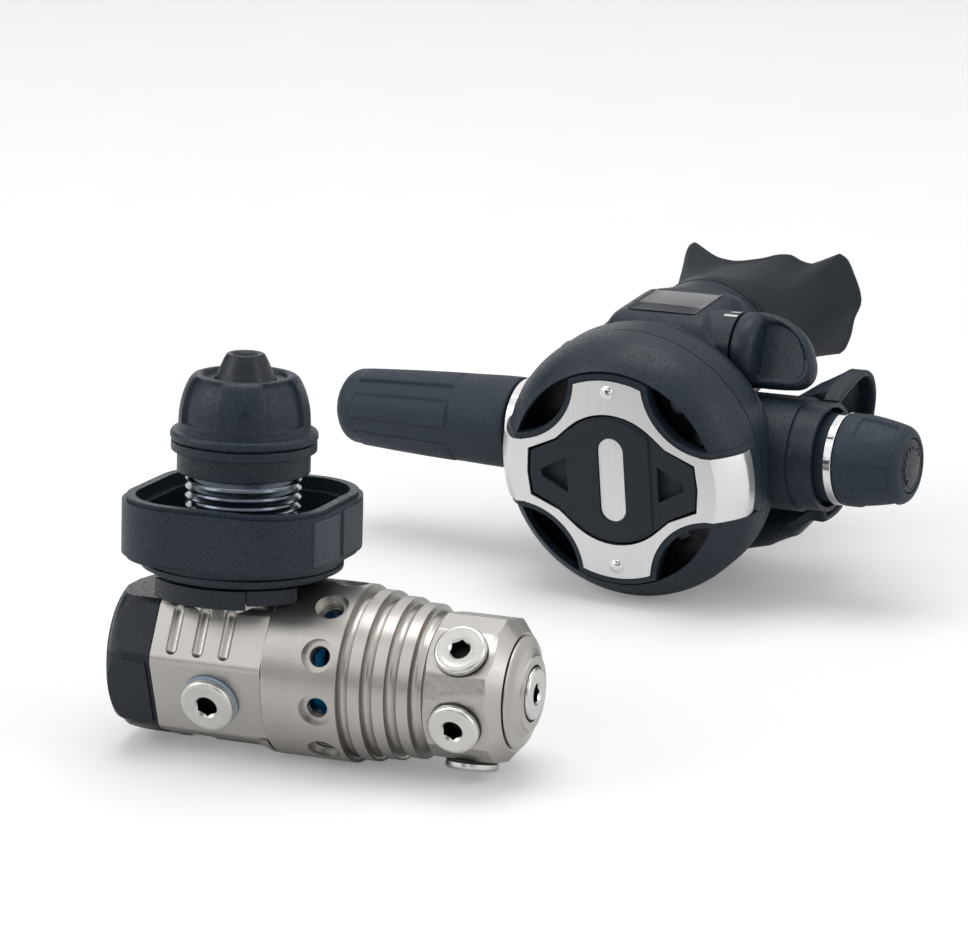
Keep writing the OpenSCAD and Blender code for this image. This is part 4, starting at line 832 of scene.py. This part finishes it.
def make_effort_knob():
    """The knob: a barrel with five sunk panels and a rounded shoulder, and the disc with tick marks in its end."""
    start, length, big, tip = 49.3, 16.6, 11.5, 9.2
    profile = [(4.1, -7.1), (10.9, -7.1), (10.9, 0), (big - 0.5, 0), (big - 0.1, 0.25), (big, 0.8), (big, 2.6),
               (big - 0.02, 4.4)]
    for i in range(1, 9):
        share = i / 8
        profile.append((big - (big - tip - 0.75) * (0.5 * share + 0.5 * share ** 2), 4.4 + (length - 7.2) * share))
    profile += arc(tip - 2.2, length - 2.85, 2.85, 10, 84, 7)
    profile += [(6.95, length), (6.75, length - 0.9), (4.1, length - 0.95), (4.1, -7.1)]
    knob = lathe(profile, 90, along="X")
    sink_panels(knob, 5, 40, 18.5, lambda centre, normal: 4.2 < centre.x < length - 2.4
                and hypot(centre.y, centre.z) > 8.2, 0.55, 0.35, across=(1, 2))
    soften(knob, 0.3, 26, 2)
    smooth(knob, 38)
    moved(knob, start, BARREL_Y, 0)
    finish_piece(knob, "effort_knob_body", SECOND, "knob", SOFT_BLACK, ("adjust_knob",), "black_plastic")
    disc = lathe([(0, -1), (6.6, -1), (6.6, -0.1), (6.35, 0.15), (5.9, 0.2), (5.75, 0.05), (5.4, 0.05), (5.2, 0.25),
                  (4.0, 0.42), (2.0, 0.56), (0, 0.6)], 64, along="X")
    smooth(disc, 40)
    marks = []
    for i in range(9):
        clear_selection()
        bpy.ops.mesh.primitive_cube_add(size=1, location=(0, 0, 0))
        mark = bpy.context.object
        grow = 0.35 + 0.11 * i
        mark.data.transform(rotation(-70 + i * 26, "X") @ shift(0.42, 0, 4.5)
                            @ Matrix.Diagonal((0.3, grow, 0.55 + 0.1 * i, 1)))
        marks.append(mark)
    disc = joined([disc, *marks])
    moved(disc, start + length - 0.25, BARREL_Y, 0)
    finish_piece(disc, "knob_end_disc", SECOND, "knob", SMOOTH_BLACK, ("knob_disc",), "soft_black")


# ---- mouthpiece, exhaust tee and flow lever

LIP_OUTLINE = [(0, 30.2), (4.7, 31.6), (8.4, 31.8), (11.3, 30.3), (14.2, 29.6), (17.0, 30.4), (18.8, 32.6),
               (21.0, 32.7), (23.4, 30.8), (25.0, 26.4), (26.2, 22.0), (26.3, 18.5), (24.6, 14.6), (23.4, 9.6),
               (21.0, 5.2), (16.2, 5.0), (12.0, 4.4), (6, 5.2), (0, 6.0), (-6, 5.2), (-12, 4.4), (-16.2, 5.0),
               (-21, 5.2), (-23.4, 9.6), (-24.4, 14.6), (-25.4, 19), (-25.0, 24.0), (-23.2, 29.8), (-21.0, 32.2),
               (-18.0, 31.4), (-15.5, 29.6), (-8.0, 28.8)]
LIP_SCALE = 0.965


def make_mouthpiece():
    """Moulded mouthpiece: a round tube that flattens and flares into the lip flange, with two bite tabs."""
    count = 120
    centre = (0, MOUTH_Z)
    lip = [LIP_SCALE * r for r in reach(LIP_OUTLINE, centre, count)]

    def ring(y, a, b, power=2.5, share=0.0, grow=0.0):
        """One ring at y: an oval that turns into the lip's outline, bowed back at its sides."""
        radii = [r * (1 - share) + (lip[k] + grow) * share for k, r in enumerate(oval(a, b, power, count))]
        return [(x, y + 4.6 * (x / 25) ** 2 * share, z) for x, z in around(radii, centre)]

    shell = skinned([ring(*sizes) for sizes in (
        (60.6, 15.0, 15.0, 2), (60.6, 16.2, 16.0, 2), (63, 16.7, 15.9, 2.1), (66, 17.1, 15.4, 2.2),
        (69, 17.7, 14.7, 2.3), (72.5, 18.4, 14.0, 2.4), (76, 19.2, 13.4, 2.5, 0.02), (79.5, 20.2, 13.0, 2.5, 0.10),
        (82.3, 21.0, 12.8, 2.5, 0.26), (84.6, 21.6, 12.6, 2.5, 0.47), (86.2, 22, 12.6, 2.5, 0.68),
        (87.3, 22, 12.6, 2.5, 0.85), (88.0, 22, 12.6, 2.5, 0.955), (88.5, 22, 12, 2.5, 1, 0.05),
        (89.2, 22, 12, 2.5, 1, 0.42), (90.0, 22, 12, 2.5, 1, 0.5), (90.7, 22, 12, 2.5, 1, 0.25),
        (91.1, 22, 12, 2.5, 1, -0.35), (91.2, 20, 10, 2.5, 0.85), (91.1, 17, 8, 2.5, 0.5), (91, 15, 7, 2.5, 0.25),
        (90.4, 14.2, 6.3, 2.6, 0.08), (88.6, 13.8, 6.0, 2.6), (84, 14.2, 6.6), (77, 15.2, 9.2, 2.3),
        (70, 15.2, 12.2, 2.1), (60.6, 15.0, 15.0, 2))])
    tabs = []
    for side in (-1, 1):
        for x, y, tilt, size in ((15.6, 98.6, 5, (7.6, 16, 4.2)), (16.2, 104.4, 5, (8.2, 3.2, 12.0)),
                                 (15.4, 93.4, 0, (8.4, 4.6, 9.0))):
            clear_selection()
            bpy.ops.mesh.primitive_cube_add(size=1)
            tab = bpy.context.object
            tab.data.transform(shift(side * x, y, MOUTH_Z) @ rotation(-side * tilt, "Z")
                               @ Matrix.Diagonal((*size, 1)))
            soften(tab, 1.5, 30, 4)
            tabs.append(tab)
    piece = joined([shell, *tabs])
    smooth(piece, 60)
    finish_piece(piece, "mouthpiece_moulding", SECOND, "second_stage", MOUTH_RUBBER, ("mouthpiece",),
                 "mouth_rubber")


def make_exhaust_tee():
    """The exhaust tee: two flattened wings that sweep up round the housing and open sideways."""
    count, wall = 96, 1.7
    middle = ([(37.2, -6), (38.6, -1.6), (43, -0.4), (49, -0.2), (53.4, -1.6), (55, -6), (55.2, -18), (54, -31),
               (50, -35.6), (44, -36.6), (39, -34), (36.8, -28), (36.6, -16)], (46, -18.4))
    near = ([(45.6, 1.5), (46.6, 4.4), (49.5, 5.0), (54, 4.4), (56.6, 1.6), (57.2, -6), (55.6, -16), (52, -24.6),
             (47.6, -28.8), (41.6, -29.4), (37.2, -27.4), (35.2, -22.6), (36.4, -16), (42, -10.5), (45, -5)],
            (47.6, -12.6))
    far = ([(46.2, 5.2), (46.6, 8.9), (49.6, 9.9), (55.5, 10.2), (58.9, 8.6), (60.4, 3.4), (57.4, -7.6),
            (51.2, -17.6), (45.2, -23.4), (39.4, -24.6), (34.4, -23.2), (32.6, -19.2), (35.6, -15.4),
            (41.4, -11.2), (45.4, -4.2)], (48, -8))
    tip = ([(44.0, 8.3), (45.0, 10.6), (49.0, 11.9), (56.5, 13.2), (61.2, 12.8), (64.2, 9.8), (64.6, 4),
            (60.4, -4.6), (52, -13.4), (44.4, -18.0), (38.4, -19.0), (33.6, -18.4), (31.9, -16.6), (35.0, -15.2),
            (40.8, -12.0), (45.4, -5.4), (46.2, 1.4)], (49, -4))
    stations = [(0, middle, 0), (22.5, near, 0), (31.5, far, 0), (37.5, tip, 0.04), (40.6, tip, 0.06)]
    lip = ((40.6, -0.05), (41.2, 0.0), (41.6, 0.3), (41.75, 0.85), (41.6, 1.4), (41.2, wall))

    def ring(x, radii, centre, inset, lean, side):
        return [(side * (x + lean * (y - centre[0])), y, z) for y, z in around([r - inset for r in radii], centre)]

    wings = []
    for side in (-1, 1):
        outer, inner = [], []
        for (x0, a, lean0), (x1, b, lean1) in zip(stations, stations[1:]):
            for share in (0, 0.2, 0.4, 0.6, 0.8):
                radii = blended(reach(*a, count), reach(*b, count), share)
                centre = blended(a[1], b[1], share)
                x, lean = x0 + (x1 - x0) * share, lean0 + (lean1 - lean0) * share
                outer.append(ring(x, radii, centre, 0, lean, side))
                inner.append(ring(x, radii, centre, wall, lean, side))
        rim = [ring(x, reach(*tip, count), tip[1], inset, 0.06, side) for x, inset in lip]
        wings.append(skinned(outer + rim + inner[::-1]))
    collar = lathe([(11.9, 29.75), (13.2, 29.75), (13.4, 30.0), (13.4, 38.5), (11.9, 38.5), (11.9, 29.75)], 72,
                   along="Y")
    moved(collar, z=TEE_Z)
    clear_selection()
    bpy.ops.mesh.primitive_cylinder_add(vertices=96, radius=14.3, depth=80)
    housing = bpy.context.object
    housing.data.transform(shift(0, BARREL_Y, 0) @ rotation(90, "Y"))
    cut(collar, housing)
    wings = joined(wings)
    outward(wings, 0.002)
    tee = joined([wings, collar])
    smooth(tee, 38)
    finish_piece(tee, "exhaust_tee_moulding", SECOND, "second_stage", BLACK_PLASTIC, ("exhaust_tee",),
                 "black_plastic")


LEVER_OUTLINE = [(22.0, 9.3), (25.7, 9.4), (29.1, 8.8), (32.6, 7.3), (35.5, 5.1), (37.7, 2.5), (39.2, -0.8),
                 (39.8, -3.2), (39.6, -5.6), (38.4, -7.4), (36.6, -8.5), (33.4, -8.9), (29.2, -9.1), (25.4, -9.1),
                 (22.0, -9.0), (21.4, -5), (21.2, 0), (21.4, 5)]
PANEL_OUTLINE = [(25.3, 6.2), (27.2, 6.9), (29.6, 6.7), (31.9, 5.9), (34.1, 4.3), (35.8, 2.0), (36.9, -0.6),
                 (37.4, -3.0), (37.1, -5.2), (35.6, -6.3), (33.0, -6.5), (30.4, -6.6), (26.6, -6.7), (25.3, -6.0),
                 (25.2, -2), (25.2, 2)]


def make_flow_lever():
    """The flow lever: a hub with a rounded rim, and a thick paddle with a sunk panel on each face."""
    centre = (30.5, -0.6)
    floor, rest_turn = 1.35, -30
    outline, panel = reach(LEVER_OUTLINE, centre, 96), reach(PANEL_OUTLINE, centre, 96)

    def ring(radii, inset, y):
        return [(x, y, z) for x, z in around([r - inset for r in radii], centre)]

    def face(front):
        return [ring(radii, inset, front * y) for radii, inset, y in (
            (panel, 3.4, floor), (panel, 0.9, floor), (panel, 0.25, 1.5), (panel, 0.0, 2.05), (panel, -0.3, 2.2),
            (outline, 1.35, 2.5), (outline, 0.75, 2.35), (outline, 0.3, 1.95), (outline, 0.06, 1.3),
            (outline, 0, 0.6))]

    paddle = skinned(face(-1) + face(1)[::-1])
    for front in (-1, 1):
        pick(paddle, lambda middle, along, front=front: abs(middle.y - front * floor) < 0.02
             and hypot(middle.x - centre[0], middle.z - centre[1]) < 9, "EDGE")
        bpy.ops.mesh.edge_face_add()
        done_editing()
    hub = lathe([(0, -0.1), (6.2, -0.1), (8.6, 0), (9.2, 0.35), (9.4, 1.0), (9.4, 2.6), (9.15, 3.9), (8.5, 4.9),
                 (7.3, 5.5), (5.5, 5.8), (0, 5.9)], 72, along="X")
    shaft = lathe([(0, -12), (2.2, -12), (2.2, 0.5), (0, 0.5)], 32, along="X")
    lever = joined([paddle, moved(hub, LEVER_X), moved(shaft, LEVER_X)])
    smooth(lever, 40)
    place = SECOND @ shift(0, LEVER_Y, LEVER_Z) @ rotation(rest_turn, "X")
    finish_piece(lever, "flow_lever_moulding", place, "flow_lever", BLACK_PLASTIC, ("venturi_lever",),
                 "black_plastic")


def make_collar_marks():
    """Two plain white bars on the lever's collar."""
    marks = []
    for angle, x0, x1 in ((101, 15.8, 19.3), (88, 16.8, 19.3)):
        bar = lathe([(9.35, x0), (9.45, x0), (9.45, x1), (9.35, x1), (9.35, x0)], 180, along="X")
        pick(bar, lambda middle, normal, angle=angle:
             abs(degrees(atan2(middle.z, middle.y)) - angle) > 2.9)
        bpy.ops.mesh.delete(type="FACE")
        done_editing()
        marks.append(moved(bar, 0, LEVER_Y, LEVER_Z))
    piece = joined(marks)
    finish_piece(piece, "collar_marks", SECOND, "second_stage", WHITE_PLASTIC, (), "white_plastic")


def make_neck_saddle():
    """The saddle on the neck: it rises from the case's round back, carries the label and runs out at the strap."""
    count = 120
    centre = (0, 20)
    round_end = [16.95 - 3 * sin(tau * k / count) for k in range(count)]

    def ring(y, top, side, share=0.0):
        outline = [(-10.2, top), (-4, top + 0.12), (0, top + 0.14), (4, top + 0.12), (10.2, top), (12.6, top - 0.8),
                   (14.6, top - 2.9), (side - 2.2, top - 6.2), (side - 0.4, 22), (side, 17), (15, 12), (0, 10),
                   (-15, 12), (-side, 17), (-side + 0.4, 22), (-side + 2.2, top - 6.2), (-14.2, top - 2.9),
                   (-12.4, top - 0.8)]
        radii = [a * (1 - share) + b * share for a, b in zip(reach(outline, centre, count), round_end)]
        return [(x, y, z) for x, z in around(radii, centre)]

    saddle = skinned([ring(*sizes) for sizes in (
        (24.0, 27.6, 19.2), (25.6, 30.2, 19.45), (26.8, 31.7, 19.5), (28.0, 32.7, 19.5), (29.2, 33.25, 19.5),
        (30.4, 33.5, 19.45), (32, 33.56, 19.4), (38, 33.56, 19.2), (44, 33.56, 19.0), (48.4, 33.56, 18.6, 0.04),
        (50.6, 33.6, 18.2, 0.3), (53, 33.7, 17.8, 0.7), (55.4, 33.8, 17.2, 1.0), (57.0, 33.8, 17.0, 1.0))])
    smooth(saddle, 60)
    finish_piece(saddle, "neck_saddle", SECOND, "second_stage", BLACK_PLASTIC, (), "black_plastic")


def make_label():
    """The blank label on the saddle: a thin curved plate with a foil field, a dark front band and a dark edge."""
    left, right, front, back, corner, top = -9.6, 9.3, 30.6, 47.6, 1.3, 33.62
    band_y, band_slope, bow, border = 36.4, 0.05, 0.14, 0.5
    corners = ((right - corner, back - corner), (left + corner, back - corner),
               (left + corner, front + corner), (right - corner, front + corner))
    outline = [point for i, (x, y) in enumerate(corners) for point in arc(x, y, corner, i * 90, i * 90 + 90, 3)]
    clear_selection()
    bpy.ops.mesh.primitive_circle_add(vertices=len(outline), radius=1, fill_type="NGON")
    label = bpy.context.object
    for vertex, (x, y) in zip(label.data.vertices, outline):
        vertex.co = (x, y, top)
    editing(label)
    bpy.ops.mesh.select_all(action="SELECT")
    bpy.ops.mesh.extrude_region_move(TRANSFORM_OT_translate={"value": (0, 0, 0.2)})
    bpy.ops.mesh.inset(thickness=0.55, depth=0)
    bpy.ops.transform.translate(value=(0, 0, -0.12))
    for place, across in (*(((x, 40, top), (1, 0, 0)) for x in (-6, -3, 0, 3, 6)),
                          ((0, band_y, top), (band_slope, 1, 0))):
        bpy.ops.mesh.select_all(action="SELECT")
        bpy.ops.mesh.bisect(plane_co=place, plane_no=across)
    done_editing()
    outward(label)
    for vertex in label.data.vertices:
        vertex.co.z += bow - bow * (vertex.co.x / left) ** 2
    label.data.materials.append(FOIL)
    label.data.materials.append(SMOOTH_BLACK)
    for face in label.data.polygons:
        x, y, _ = face.center
        if y < band_y - band_slope * x or min(x - left, right - x, back - y) < border:
            face.material_index = 1
    smooth(label, 30)
    finish_piece(label, "name_plate_blank", SECOND, "second_stage", None, ("label_plate",), "label_foil")


def make_clamp():
    """The mouthpiece's strap: a band with three fine ridges."""
    profile = [(15.3, 57.35), (16.7, 57.35), (17.0, 57.5)]
    for step in range(3):
        at = 57.7 + step * 0.98
        profile += [(17.0, at), (17.22, at + 0.15), (17.22, at + 0.6), (17.0, at + 0.75)]
    profile += [(17.0, 60.75), (16.7, 60.9), (15.3, 60.9), (15.3, 57.35)]
    band = lathe(profile, 120, along="Y")
    smooth(band, 40)
    moved(band, z=MOUTH_Z)
    finish_piece(band, "mouthpiece_strap", SECOND, "second_stage", SMOOTH_BLACK, ("mouthpiece_clamp",),
                 "black_plastic")


def make_hidden_rubber():
    """The diaphragm with its rolled fold, the exhaust flap and the two rubber rings of the first stage."""
    fold = [(cos(radians(t)), sin(radians(t))) for t in range(180, -1, -20)]
    profile = [(0, 12.62), (13, 12.62), (20.4, 12.62), (21.6, 12.95)]
    profile += [(24.4 + 1.95 * c, 13.2 + 1.95 * d) for c, d in fold]
    profile += [(29.4, 13.2), (31.2, 13.25), (31.25, 13.8), (30.9, 14.4), (30.0, 14.4), (29.6, 13.75),
                (27.4, 13.65)]
    profile += [(24.4 + 2.5 * c, 13.2 + 2.5 * d) for c, d in fold[1:-1][::-1]]
    profile += [(21.5, 13.3), (20.2, 12.9), (13, 12.84), (0, 12.84)]
    skin = lathe(profile, 120, along="Y")
    smooth(skin, 50)
    skin = finish_piece(skin, "diaphragm_skin", SECOND, None, CLEAR_SILICONE, ("diaphragm",), "silicone")
    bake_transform(skin)
    flap = lathe([(0, 26.5), (1.3, 26.5), (1.6, 26.8), (1.6, 29.85), (7.2, 29.85), (7.62, 30.1), (7.62, 30.5),
                  (7.1, 30.78), (3.0, 30.85), (0, 30.85)], 64, along="Y")
    smooth(flap, 40)
    moved(flap, z=FLAP_Z)
    finish_piece(flap, "exhaust_flap", SECOND, "second_stage", CLEAR_SILICONE, ("exhaust_valve",), "seal_rubber")
    for node, name, body, axis in (("din_seal", "tank_face_ring", "first_stage", 2),
                                   ("piston_seal", "piston_head_ring", "piston", 0)):
        inside = [FIRST.inverted() @ vertex.co for vertex in nodes[node].data.vertices]
        low, high = min(v[axis] for v in inside), max(v[axis] for v in inside)
        others = [i for i in range(3) if i != axis]
        outer = max(hypot(v[others[0]], v[others[1]]) for v in inside)
        wire = (high - low) / 2
        clear_selection()
        bpy.ops.mesh.primitive_torus_add(major_radius=outer - wire, minor_radius=wire + 0.01,
                                         major_segments=96, minor_segments=20)
        ring = bpy.context.object
        if axis == 0:
            ring.data.transform(rotation(90, "Y"))
        moved(ring, *[(low + high) / 2 if i == axis else 0 for i in range(3)])
        smooth(ring, 60)
        finish_piece(ring, name, FIRST, body, SEAL_RUBBER, (node,), "seal_rubber")


# ---- put together

NODE_FINISHES = (
    (BLASTED_NICKEL, "main_body turret"),
    (TURNED_NICKEL, "ambient_body swivel_bolt"),
    (PLUG_STEEL, "tank_plugs lp_plugs axial_plug"),
    (CHROME, "inlet_stem plate_pins valve_barrel inlet_ring hose_fitting knob_ring"),
    # the DIN connector takes the darkened chrome, painted shade
    (THREAD_CHROME_PAINTED_SHADE, "din_connector"),
    (BRASS, "seat_retainer inlet_filter orifice adjust_spindle"),
    (STEEL, "piston diaphragm_disc demand_lever"),
    (PLATE_STEEL, "cover_plate button_inlay"),
    (FOIL, "label_plate"),
    (BLACK_PLASTIC, "wheel_skirt handwheel cap_base cap_dome case front_cover venturi_lever exhaust_tee"),
    (SMOOTH_BLACK, "end_cover neck_shroud cap_nipple inner_grille knob_disc venturi_vane mouthpiece_clamp"),
    (SOFT_BLACK, "hose_sleeve adjust_knob"),
    (BUTTON_BLACK, "purge_button"),
    (WHITE_PLASTIC, "shutoff_seat poppet"),
    (GRIP_RUBBER, "grip_pads"),
    (MOUTH_RUBBER, "mouthpiece"),
    (PALE_SEAL, "tank_plug_seals"),
    (SEAL_RUBBER, "piston_seal lp_plug_seals axial_plug_seal din_seal"),
    (CLEAR_SILICONE, "diaphragm exhaust_valve"),
)
FINISH_OF = {node: finish for finish, group in NODE_FINISHES for node in group.split()}


def make_edged_pieces():
    for body, widths in (
            ("first_stage", {"main_body": 0.3, "end_cover": 0.4, "swivel_bolt": 0.12, "neck_shroud": 0.25,
                             "ambient_body": 0.15}),
            ("turret", {"turret": 0.3}),
            ("handwheel", {"handwheel": 0.6, "wheel_skirt": 0.25, "grip_pads": 0.3}),
            ("cap", {"cap_base": 0.3}),
            ("second_stage", {"case": 0.4, "front_cover": 0.35, "cover_plate": 0.12, "inlet_ring": 0.25}),
            ("purge_button", {"purge_button": 0.3, "button_inlay": 0.12}),
            ("knob", {"knob_ring": 0.2})):
        for node, width in widths.items():
            edged(node, body, FINISH_OF[node], width)


def make_stage():
    clear_selection()
    bpy.ops.mesh.primitive_plane_add(size=8, location=(0, 0, 0))
    floor = bpy.context.object
    floor.name = "floor"
    paper = Finish("white_paper", (0.96, 0.96, 0.96), 0.9, specular=0.1)
    paper.tint(paper.noise(30, 3), 0.4, 0.7, (0.975, 0.975, 0.975))
    path = paper.node("LightPath")
    paper.shader.inputs["Emission Color"].default_value = (1, 1, 1, 1)
    glow = paper.between(path.outputs["Is Camera Ray"], 0, 1, 0, 0.2)
    paper.link(glow, paper.shader.inputs["Emission Strength"])
    floor.data.materials.append(paper.material)
    dark_card("front_card", (0.62, -1.55, 0.62), (0, 0, 0.04), (0.95, 0.85))
    dark_card("front_left_card", (-0.45, -1.6, 0.25), (0, 0, 0.04), (0.5, 0.55))
    dark_card("left_card", (-1.3, 0.5, 0.45), (0, 0, 0.04), (0.7, 0.7))
    dark_card("back_card", (0.2, 1.5, 0.6), (0, 0, 0.04), (1.6, 0.5))
    dark_card("top_card", (0.05, -0.35, 1.2), (0, 0, 0.04), (1.4, 0.12))


set_camera()
set_light()
for node_name, finish in FINISH_OF.items():
    finish_node(node_name, finish)
make_springs()
make_edged_pieces()
make_plugs()
make_hole_threads()
make_rivets()
make_cap_dome()
make_cap_nipple()
make_hose_sleeve()
make_effort_knob()
make_mouthpiece()
make_exhaust_tee()
make_flow_lever()
make_collar_marks()
make_neck_saddle()
make_label()
make_clamp()
make_hidden_rubber()
make_stage()
